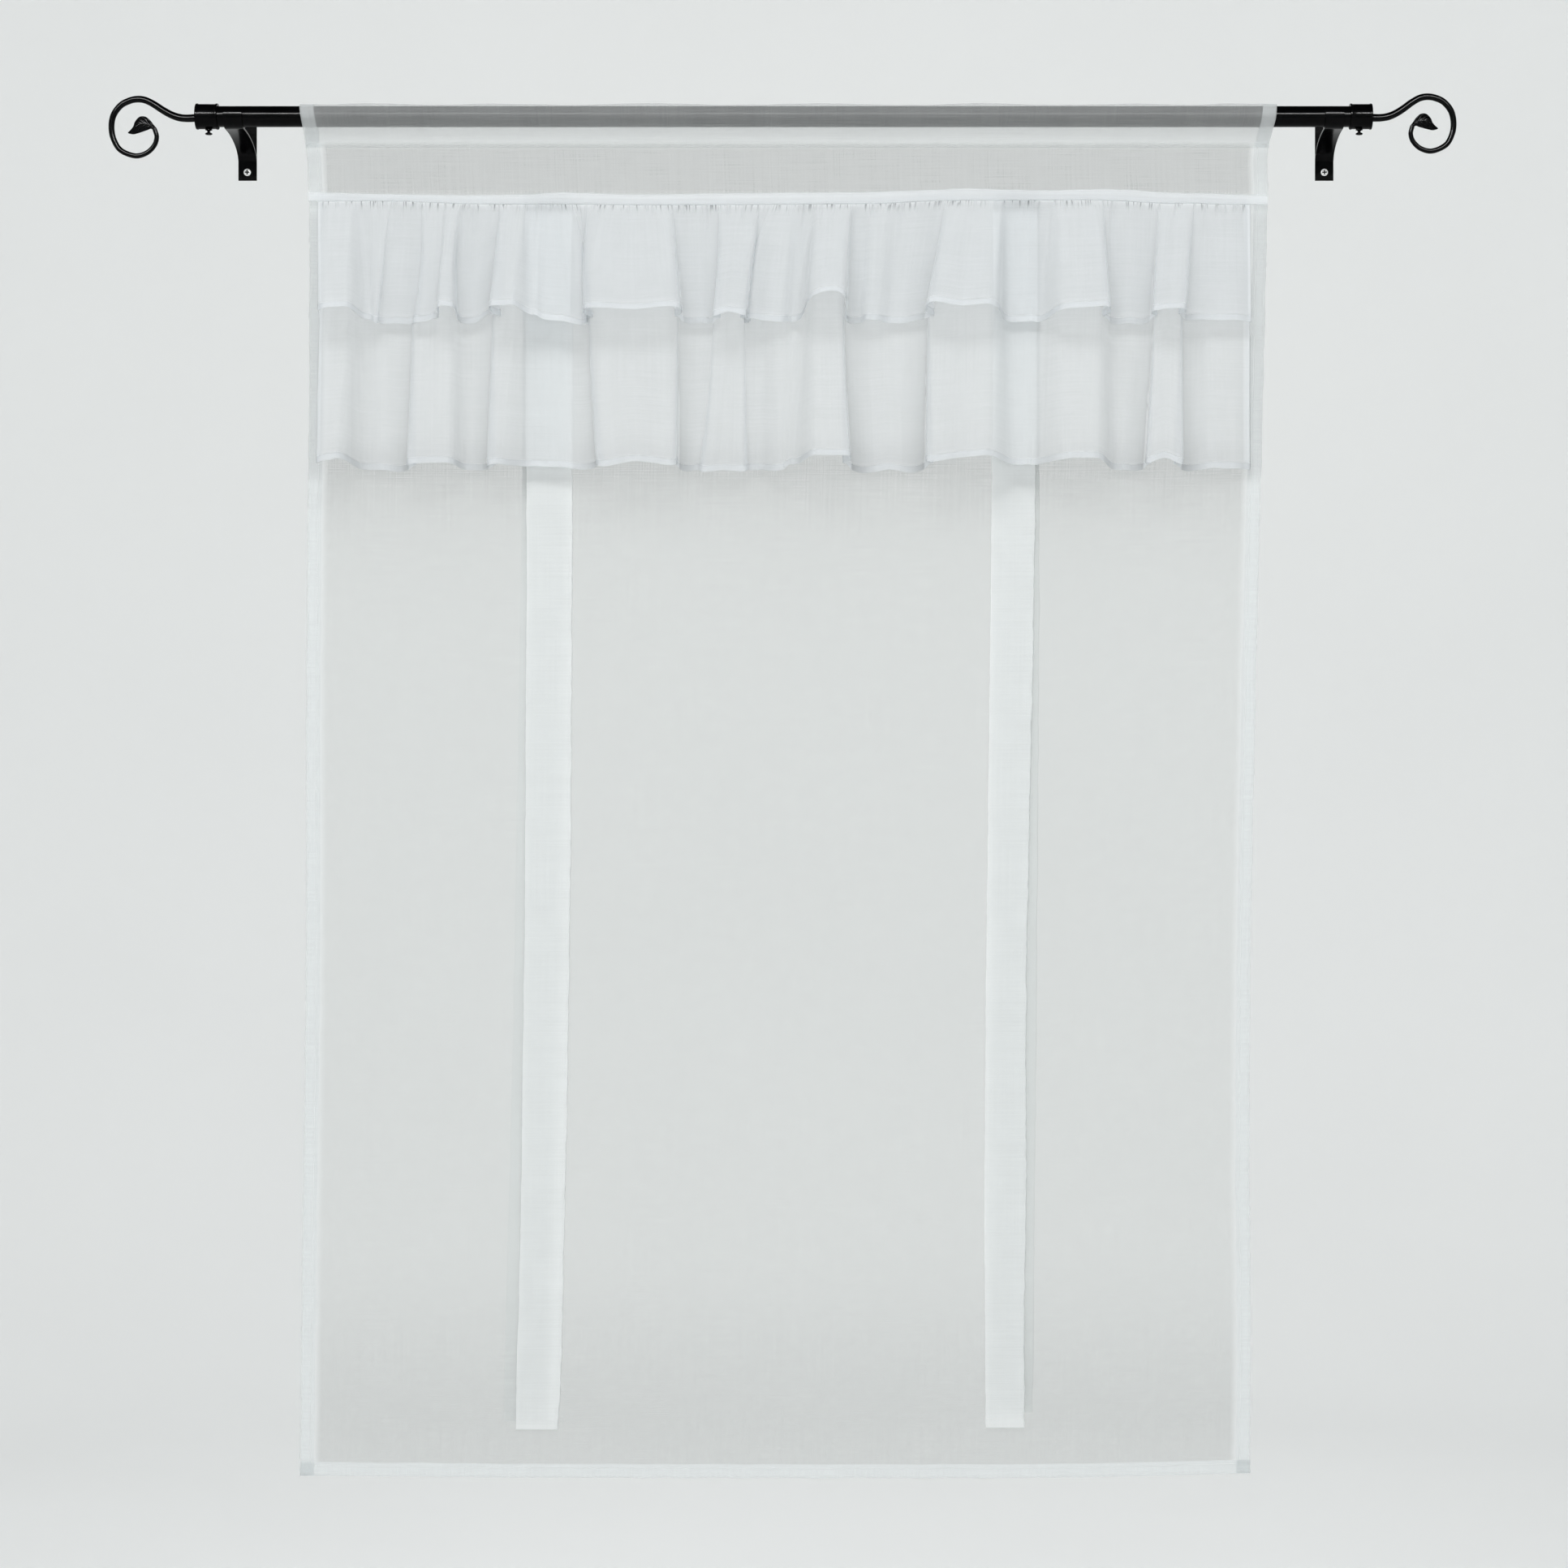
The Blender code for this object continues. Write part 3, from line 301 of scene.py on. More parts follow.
def hermite(near, far, near_slope, far_slope, span, t):
    """A smooth line between two values with given slopes, read at a share t of its span."""
    return ((2 * t ** 3 - 3 * t ** 2 + 1) * near + (t ** 3 - 2 * t ** 2 + t) * span * near_slope
            + (3 * t ** 2 - 2 * t ** 3) * far + (t ** 3 - t ** 2) * span * far_slope)


def curve_value(table, place, column=1):
    """Reads a column of a table of rows at any places, along a smooth line through the rows."""
    xs, ys = np.array([(row[0], row[column]) for row in sorted(table)], float).T
    slopes = np.gradient(ys, xs)
    place = np.clip(place, xs[0], xs[-1])
    low = np.clip(np.searchsorted(xs, place) - 1, 0, len(xs) - 2)
    step = xs[low + 1] - xs[low]
    return hermite(ys[low], ys[low + 1], slopes[low], slopes[low + 1], step, (place - xs[low]) / step)


def line_lengths(points):
    """How far along a line of points each of them lies."""
    return np.concatenate([[0.0], np.cumsum(np.linalg.norm(np.diff(points, axis=0), axis=1))])


def read_line(lengths, values, places):
    """Reads rows of three values at places along a line."""
    return np.stack([np.interp(places, lengths, values[:, k]) for k in range(3)], -1)


class Wander:
    """A repeatable smooth random line, from -1 to 1, that changes about once a unit."""

    def __init__(self, seed):
        self.values = np.random.default_rng(seed).uniform(-1.0, 1.0, 1024)

    def __call__(self, place):
        low = np.floor(place).astype(int)
        near, far = (self.values[(low + k) % len(self.values)] for k in (0, 1))
        return blend(near, far, ease(place - low))


class Clouds:
    """A repeatable smooth random field over two directions, from -1 to 1."""

    def __init__(self, seed):
        self.values = np.random.default_rng(seed).uniform(-1.0, 1.0, (128, 128))

    def __call__(self, across, up):
        size = len(self.values)
        i, j = (np.floor(place).astype(int) for place in (across, up))
        share = ease(across - i)
        low, high = (blend(self.values[i % size, k % size], self.values[(i + 1) % size, k % size], share)
                     for k in (j, j + 1))
        return blend(low, high, ease(up - j))


# Mesh helpers
def at(x, forward, z):
    """Points in mm, from places across, how far they stand forward of the rod's middle, and heights."""
    return np.stack(np.broadcast_arrays(x, -(ROD_DEPTH / MM + forward), z), -1)


def add_object(name, data):
    item = bpy.data.objects.new(name, data)
    bpy.context.scene.collection.objects.link(item)
    return item


def add_piece(name, mesh, look, replaced=None):
    """Adds a mesh as a piece. A look is a material and its slot; replaced names the solid it stands for."""
    mesh.materials.append(look[0])
    item = add_object(name, mesh)
    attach(item, "root")
    if replaced:
        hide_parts(replaced)
    return item


def grid_piece(name, points, look, replaced, layers, rows_up=False):
    """A sheet over a grid of points, with the cloth's own lengths along it in metres as its UVs."""
    rows, columns = points.shape[:2]
    index = np.arange(rows * columns).reshape(rows, columns)
    corners = [index[:-1, :-1], index[:-1, 1:], index[1:, 1:], index[1:, :-1]]
    if not rows_up:
        corners[1], corners[3] = corners[3], corners[1]
    faces = np.stack(corners, -1).reshape(-1, 4)
    lengths = np.meshgrid(line_lengths(points[rows // 2]), line_lengths(points[:, columns // 2]))
    uv = np.stack(lengths, -1).reshape(-1, 2)
    mesh = bpy.data.meshes.new(name)
    mesh.from_pydata(points.reshape(-1, 3).tolist(), [], faces.tolist())
    layer = mesh.uv_layers.new(name="UVMap")
    layer.data.foreach_set("uv", uv[faces.ravel()].astype(np.float32).ravel())
    for key, values in layers.items():
        layer = mesh.attributes.new(key, "FLOAT", "POINT")
        layer.data.foreach_set("value", values.astype(np.float32).ravel())
    mesh.shade_smooth()
    return add_piece(name, mesh, look, replaced)


def row_normals(points):
    """Unit normals of each row of a grid, level, on the side that faces forward where the row runs right."""
    along = np.gradient(points, axis=1)
    normal = np.stack([along[..., 1], -along[..., 0], np.zeros(points.shape[:2])], -1)
    length = np.linalg.norm(normal, axis=-1, keepdims=True)
    return normal / np.maximum(length, 1e-9)


def stitches(name, lines, slot):
    """Rows of thread stitches as one piece, along lines of (points, normals) in metres.

    Each stitch is four rings of four points, thin and low at its ends.
    """
    sides = [(4 * ring + k, 4 * ring + (k + 1) % 4) for ring in range(3) for k in range(4)]
    one_stitch = [(a, b, b + 4, a + 4) for a, b in sides] + [(3, 2, 1, 0), (12, 13, 14, 15)]
    shares = np.array([0.0, 0.3, 0.7, 1.0])
    verts = []
    faces = []
    for points, normals in lines:
        lengths = line_lengths(points)
        normals = np.broadcast_to(normals, points.shape)
        for start in np.arange(0.5, lengths[-1] / MM - STITCH_LENGTH, STITCH_PITCH) * MM:
            centre = read_line(lengths, points, start + shares * STITCH_LENGTH * MM)
            normal = read_line(lengths, normals, start)
            normal /= np.linalg.norm(normal)
            along = centre[-1] - centre[0]
            side = np.cross(along / np.linalg.norm(along), normal)
            faces += [[len(verts) + corner for corner in face] for face in one_stitch]
            for middle, raised, thin in zip(centre, (0, 1, 1, 0), (0.45, 1, 1, 0.45)):
                middle = middle + normal * (raised * STITCH_LIFT * MM)
                radius = thin * STITCH_RADIUS * MM
                verts += [middle + radius * way for way in (side, normal, -side, -normal)]
    mesh = bpy.data.meshes.new(name)
    mesh.from_pydata(np.array(verts).tolist(), [], faces)
    mesh.shade_smooth()
    return add_piece(name, mesh, (THREAD, slot))


# Materials
class Nodes:
    """A material's node tree, with short calls to add nodes and join them."""

    def __init__(self, name):
        self.material = bpy.data.materials.new(name)
        self.material.use_nodes = True
        self.tree = self.material.node_tree
        self.tree.nodes.clear()

    def feed(self, socket, value):
        """Sets an input to a constant, or joins another node's output to it."""
        if isinstance(value, bpy.types.NodeSocket):
            self.tree.links.new(value, socket)
        else:
            socket.default_value = value

    def add(self, kind, *inputs, **values):
        """Adds a shader node. Inputs go in order; named values are its settings, or inputs by name."""
        node = self.tree.nodes.new("ShaderNode" + kind)
        for key, value in values.items():
            if hasattr(node, key):
                setattr(node, key, value)
            else:
                self.feed(node.inputs[key.replace("_", " ")], value)
        for socket, value in zip(node.inputs, inputs):
            self.feed(socket, value)
        return node

    def finish(self, shader):
        self.add("OutputMaterial", Surface=shader)
        return self.material

    def coated(self, **values):
        return self.finish(self.add("BsdfPrincipled", **values).outputs["BSDF"])

    def place(self, kind="Object"):
        return self.add("TexCoord").outputs[kind]

    def layer(self, name):
        return self.add("Attribute", attribute_name=name).outputs["Fac"]

    def noise(self, vector, scale, detail, stretch=(1.0, 1.0, 1.0)):
        mapping = self.add("Mapping", Vector=vector, Scale=[scale * s for s in stretch])
        return self.add("TexNoise", Scale=1.0, Detail=detail, Vector=mapping.outputs["Vector"]).outputs["Fac"]

    def ranged(self, value, low, high, to_low, to_high):
        return self.add("MapRange", value, low, high, to_low, to_high).outputs["Result"]

    def math(self, operation, first, second):
        return self.add("Math", first, second, operation=operation).outputs["Value"]

    def colours(self, value, dark, light):
        ramp = self.add("ValToRGB", value)
        ramp.color_ramp.elements[0].color = (*dark, 1.0)
        ramp.color_ramp.elements[1].color = (*light, 1.0)
        return ramp.outputs["Color"]

    def mixed(self, share, first, second, blend_type="MIX"):
        node = self.add("Mix", share, data_type="RGBA", blend_type=blend_type)
        self.feed(node.inputs[6], first)
        self.feed(node.inputs[7], second)
        return node.outputs[2]

    def bump(self, height, strength, distance):
        return self.add("Bump", Strength=strength, Distance=distance, Height=height).outputs["Normal"]


def sheer_cloth(name, single, doubled_and_painted_light, coverage, thread=0.00042, through=0.45, uneven=1.0):
    """Voile: fine threads with open gaps between them, so that what lies behind shows through.

    The threads lie so many metres apart. The pieces' layers set where the cloth is doubled or drawn lighter
    as painted light, where painted shade darkens it (in creases, beside folds, at the top of the panel and
    below the valance), where it turns edge-on, and where it is gathered at a seam, which gets small dark
    marks of painted shade.
    """
    nodes = Nodes(name)
    uv = nodes.place("UV")
    scale = 1.0 / thread / 20.0 * 2 * math.pi
    waves = [nodes.add("TexWave", wave_type="BANDS", bands_direction=way, wave_profile="SIN", Scale=scale,
                       Vector=uv).outputs["Fac"] for way in ("X", "Y")]
    weave = nodes.math("MAXIMUM", *waves)
    weft = nodes.noise(uv, 1.0, 2.0, (14.0, 900.0, 1.0))
    warp = nodes.noise(uv, 1.0, 2.0, (700.0, 9.0, 1.0))
    cloud = nodes.noise(uv, 22.0, 3.0)
    slubs = nodes.math("ADD", nodes.ranged(weft, 0.25, 0.75, -0.016 * uneven, 0.016 * uneven),
                       nodes.ranged(warp, 0.25, 0.75, -0.014 * uneven, 0.014 * uneven))
    patchy = nodes.math("ADD", slubs, nodes.ranged(cloud, 0.3, 0.7, -0.01 * uneven, 0.01 * uneven))
    open_gaps = nodes.ranged(weave, 0.0, 1.0, coverage - 0.16, coverage + 0.10)
    closer = nodes.math("MULTIPLY", nodes.layer("rim"), 0.38)
    cover = nodes.math("ADD", nodes.math("ADD", open_gaps, patchy), closer)

    tone = nodes.math("ADD", cloud, nodes.ranged(weft, 0.3, 0.7, -0.2, 0.2))
    plain = nodes.colours(tone, [0.965 * c for c in single], single)
    # The lighter colour serves both doubled cloth and painted light.
    double = nodes.colours(tone, [0.98 * c for c in doubled_and_painted_light], doubled_and_painted_light)
    colour = nodes.mixed(nodes.layer("doubled_and_painted_light"), plain, double)
    # Painted shade: small dark marks under the gathered seam and the shade layer multiply the colour towards
    # (0.36, 0.37, 0.37).
    pleat = nodes.noise(uv, 1.0, 1.0, (520.0, 40.0, 1.0))
    painted_gather_shade = nodes.math("MULTIPLY", nodes.ranged(pleat, 0.60, 0.66, 0.0, 1.0), nodes.layer("gathered"))
    dark = nodes.math("MAXIMUM", nodes.layer("crease_and_painted_shade"), painted_gather_shade)
    colour = nodes.mixed(dark, colour, (0.36, 0.37, 0.37, 1.0), "MULTIPLY")

    front = nodes.add("BsdfPrincipled", Base_Color=colour, Roughness=0.72, Sheen_Weight=0.18,
                      Sheen_Roughness=0.4, Specular_IOR_Level=0.3, Normal=nodes.bump(weave, 0.5, 0.00003))
    back = nodes.add("BsdfTranslucent", Color=colour)
    both = nodes.add("MixShader", through, front.outputs["BSDF"], back.outputs["BSDF"])
    clear = nodes.add("BsdfTransparent")
    whole = nodes.add("MixShader", cover, clear.outputs["BSDF"], both.outputs["Shader"])
    return nodes.finish(whole.outputs["Shader"])


def thread_material():
    nodes = Nodes("thread")
    twist = nodes.noise(nodes.place(), 2600.0, 2.0, (1.0, 1.0, 0.3))
    colour = nodes.colours(twist, (0.78, 0.79, 0.79), (0.90, 0.91, 0.91))
    return nodes.coated(Base_Color=colour, Roughness=0.6, Sheen_Weight=0.2,
                        Normal=nodes.bump(twist, 0.4, 0.0001))


def black_metal(name, gloss, smoothest, roughest):
    """Satin black coating over steel: a fine orange-peel skin, faint dust and lighter worn spots."""
    nodes = Nodes(name)
    place = nodes.place()
    peel = nodes.noise(place, 900.0, 2.0)
    broad = nodes.noise(place, 35.0, 4.0)
    specks = nodes.noise(place, 420.0, 5.0)
    dusty = nodes.math("ADD", nodes.math("MULTIPLY", broad, 0.7), nodes.math("MULTIPLY", specks, 0.3))
    colour = nodes.colours(nodes.ranged(dusty, 0.35, 0.75, 0.0, 1.0), (0.0006, 0.0006, 0.0008),
                           (0.0018, 0.0018, 0.0022))
    worn = nodes.math("ADD", broad, nodes.math("MULTIPLY", specks, 0.4))
    return nodes.coated(Base_Color=colour, Specular_IOR_Level=gloss, Normal=nodes.bump(peel, 0.25, 0.00008),
                        Roughness=nodes.ranged(worn, 0.4, 1.0, smoothest, roughest))


def nickel():
    nodes = Nodes("nickel_plate")
    place = nodes.place()
    scratch = nodes.noise(place, 1.0, 3.0, (5200.0, 900.0, 900.0))
    colour = nodes.colours(nodes.noise(place, 500.0, 3.0), (0.93, 0.93, 0.92), (0.98, 0.98, 0.97))
    rough = nodes.ranged(scratch, 0.3, 0.7, 0.20, 0.38)
    return nodes.coated(Base_Color=colour, Metallic=0.15, Roughness=rough,
                        Normal=nodes.bump(scratch, 0.12, 0.00004))


# Looks: a material and the name of its slot; the pieces take only the material
THREAD = thread_material()
VOILE = (sheer_cloth("voile_panel", single=(0.69, 0.707, 0.697), doubled_and_painted_light=(0.875, 0.90, 0.905), coverage=0.37,
                     uneven=1.6), "voile")
RUFFLE_VOILE = (sheer_cloth("voile_ruffle", single=(0.815, 0.835, 0.85), doubled_and_painted_light=(0.92, 0.94, 0.955),
                            coverage=0.56), "ruffle_voile")
TIE = (sheer_cloth("tie_satin", single=(0.955, 0.97, 0.97), doubled_and_painted_light=(0.965, 0.98, 0.985), coverage=0.82,
                   thread=0.00034, through=0.5), "tie_cloth")
BLACK = (black_metal("black_coat", gloss=0.062, smoothest=0.13, roughest=0.20), "black_metal")
BAR_BLACK = (black_metal("black_bar_coat", gloss=0.10, smoothest=0.13, roughest=0.20), "black_metal")
LEAF_BLACK = (black_metal("black_leaf_coat", gloss=0.09, smoothest=0.18, roughest=0.26), "black_metal")
NICKEL = (nickel(), "bright_nickel")


# Panel
def panel_forward(x, z):
    """How far the middle of the hanging panel stands forward of the rod's middle, in mm; x and z in mm."""
    total = 0.0
    for wave in PANEL_WAVES:
        down = (wave.middle - z) / wave.half_height
        middle = wave.across + wave.lean * down
        total = total + wave.forward * bump(x, middle, wave.half_width * 1.6) * bump(down, 0.0, 1.0)
    return total


def panel_ripples(x, z):
    """Small soft uneven spots of the hanging cloth, in mm."""
    broad = 0.9 * Clouds(3)(x / 95.0 + 40, z / 330.0 + 20)
    fine = 0.28 * Clouds(4)(x / 34.0 + 40, z / 120.0 + 20)
    small = 0.10 * Clouds(5)(x / 13.0 + 60, z / 22.0 + 70)
    return ease((-60.0 - z) / 300.0) * (broad + fine) + small


def hem_pucker_depth(side, z):
    own = [pucker[1:] for pucker in HEM_PUCKERS if pucker[0] == side]
    return 0.25 + sum(size * bump(z, height, half_length * 1.6) for height, half_length, size in own)


def panel_edge(side, z):
    """The panel's left (-1) or right (1) edge at heights in mm, with the small bites of its hem stitching."""
    column = 1 if side < 0 else 2
    bites = (0.18 + 0.5 * hem_pucker_depth(side, z)) * Wander(21 + column)(z / 6.5 + 300) * 0.6
    return curve_value(PANEL_EDGES, z, column) + 0.45 * Wander(11 + column)(z / 23.0 + 300) + bites


def hem_reach(inset, hem, at_edge, fade):
    """How strongly a hem's stitching pulls the cloth: most at the seam, less at the edge and past the hem."""
    return np.where(inset < hem, at_edge + (1.0 - at_edge) * inset / hem, np.exp(-(inset - hem) / fade))


def hem_puckers(side, inset, z):
    """How far the side hem's stitching pulls the cloth out of its plane, in mm."""
    wave = (np.sin(z / 2.35 + 2.2 * Wander(41 + side)(z / 19.0 + 300)) * 0.6
            + Wander(31 + side)(z / 5.5 + 300) * 0.7)
    return 0.42 * hem_pucker_depth(side, z) * wave * hem_reach(inset, SIDE_HEM, 0.45, 9.0)


def hem_profile(width):
    """(inset, how far behind the front layer) from the raw edge of a double-turned hem to its front."""
    tip = width - 0.3
    inside = [(inset, 0.5) for inset in (1.2, 0.35 * width, 0.7 * width, tip)] + [(width, 0.75)]
    across = (0.4, 0.25 * width, 0.5 * width, 0.75 * width, tip)
    back = [(inset, 1.0) for inset in reversed(across)] + [(0.0, 0.5)]
    return inside + back + [(inset, 0.0) for inset in (*across, width + HEM_EASE)]


def pocket_lift(x, angle):
    """How far the pocket stands off the rod in mm, for x in mm and an angle from straight down."""
    lift = sum(height * bump(x, middle, half) for middle, half, height in POCKET_PUCKERS)
    lift = lift + 0.25 * Wander(51)(x / 17.0 + 100)
    return POCKET_CLEARANCE + lift * max(0.0, -math.cos(angle)) ** 2


def build_panel():
    """The panel: one voile sheet, hemmed at the sides and the foot, with a pocket sewn round the rod."""
    hem = hem_profile(SIDE_HEM)
    columns = [(-1, inset, 0.0, behind) for inset, behind in hem]
    columns += [(0, 0.0, i / PANEL_COLUMNS, 0.0) for i in range(1, PANEL_COLUMNS)]
    columns += [(1, inset, 1.0, behind) for inset, behind in reversed(hem)]
    side, inset, share, behind = np.array(columns).T
    edge = SIDE_HEM + HEM_EASE

    def place_x(z):
        """Each column's place across, in mm, at heights z of shape (rows, columns)."""
        left = panel_edge(-1, z)
        right = panel_edge(1, z)
        middle = blend(left + edge, right - edge, share)
        return np.where(side < 0, left + inset, np.where(side > 0, right - inset, middle))

    foot_x = place_x(np.full((1, len(columns)), PANEL_FOOT_Z))
    foot = curve_value(PANEL_FOOT, foot_x) + 0.35 * Wander(61)(foot_x / 21.0 + 100)
    foot_hem = hem_profile(BOTTOM_HEM)
    start = foot + BOTTOM_HEM + HEM_EASE
    heights = [foot + up for up, _ in foot_hem]
    heights += [blend(start, POCKET_SEAM_Z, i / PANEL_ROWS) for i in range(1, PANEL_ROWS + 1)]
    row_behind = np.array([back for _, back in foot_hem] + [0.0] * PANEL_ROWS)[:, None]
    z = np.concatenate(heights)
    x = place_x(z)
    pulls = sum(hem_puckers(edge_side, np.abs(x - panel_edge(edge_side, z)), z) for edge_side in (-1, 1))
    foot_beat = Wander(71)(x / 5.5 + 200) * 0.5 + 0.4 * np.sin(x / 2.6 + 2.0 * Wander(72)(x / 25.0 + 100))
    forward = panel_forward(x, z) + panel_ripples(x, z) + ease((10.0 - z) / 30.0) * pulls
    forward = forward + 0.32 * foot_beat * hem_reach(np.abs(z - foot), BOTTOM_HEM, 0.5, 7.0)
    forward = forward + 0.3 * np.exp(-np.abs(z - POCKET_SEAM_Z) / 6.0) * Wander(73)(x / 6.0 + 200)
    hanging = at(x, PANEL_FORWARD + forward - behind - row_behind, z)

    tangent = math.acos(ROD_RADIUS / (ROD_HEIGHT - POCKET_SEAM_Z * MM))
    hem_share = np.exp(-np.minimum(share, 1.0 - share) * 1000.0 / 8.0)
    loops = []
    for i in range(POCKET_STEPS + 1):
        angle = blend(tangent, 2.0 * math.pi - tangent, i / POCKET_STEPS)
        z_guess = np.full((1, len(columns)), (ROD_HEIGHT - ROD_RADIUS * math.cos(angle)) / MM)
        reach = ROD_RADIUS / MM + 0.5 + pocket_lift(place_x(z_guess), angle) + 0.8 * hem_share - 0.6 * behind
        height = ROD_HEIGHT / MM - reach * math.cos(angle)
        loops.append(at(place_x(height), reach * math.sin(angle), height))
    over = np.concatenate(loops)
    seam = hanging[-1]
    up = [blend(seam, over[0], i / 7)[None] for i in range(1, 7)]
    down = [blend(over[-1], seam + [0.0, 0.9, 0.0], i / 7)[None] for i in range(1, 8)]
    allowance = ((0.9, 2.4), (0.7, 3.0), (0.45, 2.4), (0.45, -1.5))
    turned_in = [(seam + [0.0, back, -lower])[None] for back, lower in allowance]
    points = np.concatenate([hanging, *up, over, *down, *turned_in]) * MM

    # Doubled cloth, at the hems and in the pocket round the rod, takes the lighter colour.
    doubled_and_painted_light = np.zeros(points.shape[:2])
    doubled_and_painted_light[len(hanging):] = 0.78
    doubled_and_painted_light[:len(foot_hem) - 1] = 1.0
    doubled_and_painted_light[:, :len(hem)] = 1.0
    doubled_and_painted_light[:, -len(hem):] = 1.0
    height = points[..., 2] / MM
    # Painted shade in the shade layer: on single cloth a darker strip between the band and the pocket seam, a
    # painted shadow below the valance and a darkening towards the foot; on the side hems darker at their top
    # and beside the valance.
    painted_heading_shade = between(height, -42.0, 9.0, POCKET_SEAM_Z + 1.0, 4.0)
    painted_shadow_below_valance = ease((-285.0 - height) / 35.0) * np.exp(-np.maximum(-326.0 - height, 0.0) / 45.0)
    low = ease((-1130.0 - height) / 200.0)
    hem_top = between(height, -60.0, 60.0, POCKET_SEAM_Z - 2.0, 6.0)
    painted_hem_shade_beside_valance = between(height, -345.0, 20.0, -50.0, 12.0)
    crease_and_painted_shade = np.where(doubled_and_painted_light < 0.5, 0.80 * painted_heading_shade + 0.72 * painted_shadow_below_valance + 0.34 * low,
                      0.18 * hem_top + 0.22 * painted_hem_shade_beside_valance)
    layers = {"doubled_and_painted_light": doubled_and_painted_light, "crease_and_painted_shade": crease_and_painted_shade}
    panel = grid_piece("shade_panel", points, VOILE, "panel", layers, rows_up=True)

    front = hanging * MM + FRONT * THREAD_OFF * MM
    hem_seams = (len(hem) - 3, len(columns) - len(hem) + 2)
    inner = slice(len(hem) - 1, len(columns) - len(hem) + 1)
    pocket = slice(len(hem) - 6, len(columns) - len(hem) + 6)
    lines = [(front[len(foot_hem) - 1:, column], FRONT) for column in hem_seams]
    lines.append((front[len(foot_hem) - 3, inner], FRONT))
    lines.append((front[-1, pocket], FRONT))
    lines.append((points[-5, pocket] - FRONT * THREAD_OFF * MM, -FRONT))
    sewing = stitches("panel_stitches", lines, "voile")


# Valance
def edge_stations(depth, low, under, run, lift, tuck=0.0):
    """Stations of a fold's left edge: beside it at the seam, at the hem, how far out, the hem's lift."""
    if not under:
        return [(-2.0, -run / 2, low, 0.0), (2.0, run / 2, depth, lift)]
    return [(-2.6, -1.2, low, tuck), (-1.4, under, low + 0.8, 0.6 * RISE_PER_DEPTH * depth),
            (-0.3, 0.0, blend(low, depth, 0.78), 0.8 * lift), (1.3, EDGE_TURN, 0.985 * depth, lift)]


def halfway(first, second):
    return [(a + b) / 2 for a, b in zip(first, second)]


def fold_stations(folds):
    """Rows of the stations of all folds in order, with the dips between the folds.

    Each row is an edge (at the seam, at the hem, its bow), then how the station lies beside the edge.
    """
    stations = []
    low = 0.0
    for fold, after in zip(folds, (*folds[1:], None)):
        left = (fold.top_left, fold.foot_left, fold.bow_left)
        right = (fold.top_right, fold.foot_right, fold.bow_right)
        rows = edge_stations(fold.depth, low, fold.under_left, fold.run_left, fold.lift, fold.tuck)
        if fold is folds[0]:
            rows = [(0.0, 0.0, 0.90 * fold.depth, fold.lift), (2.0, fold.run_left, fold.depth, fold.lift)]
        stations += [(*left, *row) for row in rows]
        if fold.foot_right - fold.foot_left > WIDE_FOLD:
            lift = (fold.lift + fold.lift_right) / 2 + fold.crown
            stations.append((*halfway(left, right), 0.0, 0.0, 1.03 * fold.depth, lift))
        if after is None:
            stations.append((*right, 0.0, 0.0, 0.5 * fold.depth, 0.0))
            break
        low = fold.dip
        rows = edge_stations(fold.depth, low, fold.under_right, fold.run_right, fold.lift_right)
        stations += [(*right, -top, -foot, out, lift) for top, foot, out, lift in reversed(rows)]
        if after.foot_left - fold.foot_right > WIDE_VALLEY:
            following = (after.top_left, after.foot_left, after.bow_left)
            stations.append((*halfway(right, following), 0.0, 0.0, low, 0.0))
    return stations


def spline_rows(knots, counts):
    """Smooth lines through rows of knots (rows, knots, 2), with so many steps for each span."""
    spans = np.linalg.norm(np.diff(knots, axis=1), axis=2)
    spans = np.maximum(spans, 1e-4)[..., None]
    chords = np.diff(knots, axis=1) / spans
    inner = (chords[:, 1:] * spans[:, :-1] + chords[:, :-1] * spans[:, 1:]) / (spans[:, :-1] + spans[:, 1:])
    slopes = np.concatenate([chords[:, :1], inner, chords[:, -1:]], axis=1)
    pieces = []
    for k, count in enumerate(counts):
        near, far = slice(k, k + 1), slice(k + 1, k + 2)
        t = (np.arange(count) / count)[None, :, None]
        ends = (knots[:, near], knots[:, far], slopes[:, near], slopes[:, far])
        pieces.append(hermite(*ends, spans[:, near], t))
    pieces.append(knots[:, -1:])
    return np.concatenate(pieces, axis=1)


def make_gathers():
    """The seam's gathers: where each pinched crease lies, in mm, its half width, depth and length."""
    random = np.random.default_rng(17)
    places = [-494.0]
    while places[-1] < 500.0:
        places.append(places[-1] + random.choice((3.2, 5.0, 7.5, 10.5, 15.0)) * random.uniform(0.8, 1.2))
    count = len(places)
    half_width = random.uniform(0.45, 0.8, count)
    depth = random.uniform(0.7, 2.1, count)
    length = 3.0 + 4.0 * random.uniform(0.0, 1.0, count) + 34.0 * random.uniform(0.0, 1.0, count) ** 7
    return np.array(places), half_width, depth, length


GATHERS = make_gathers()


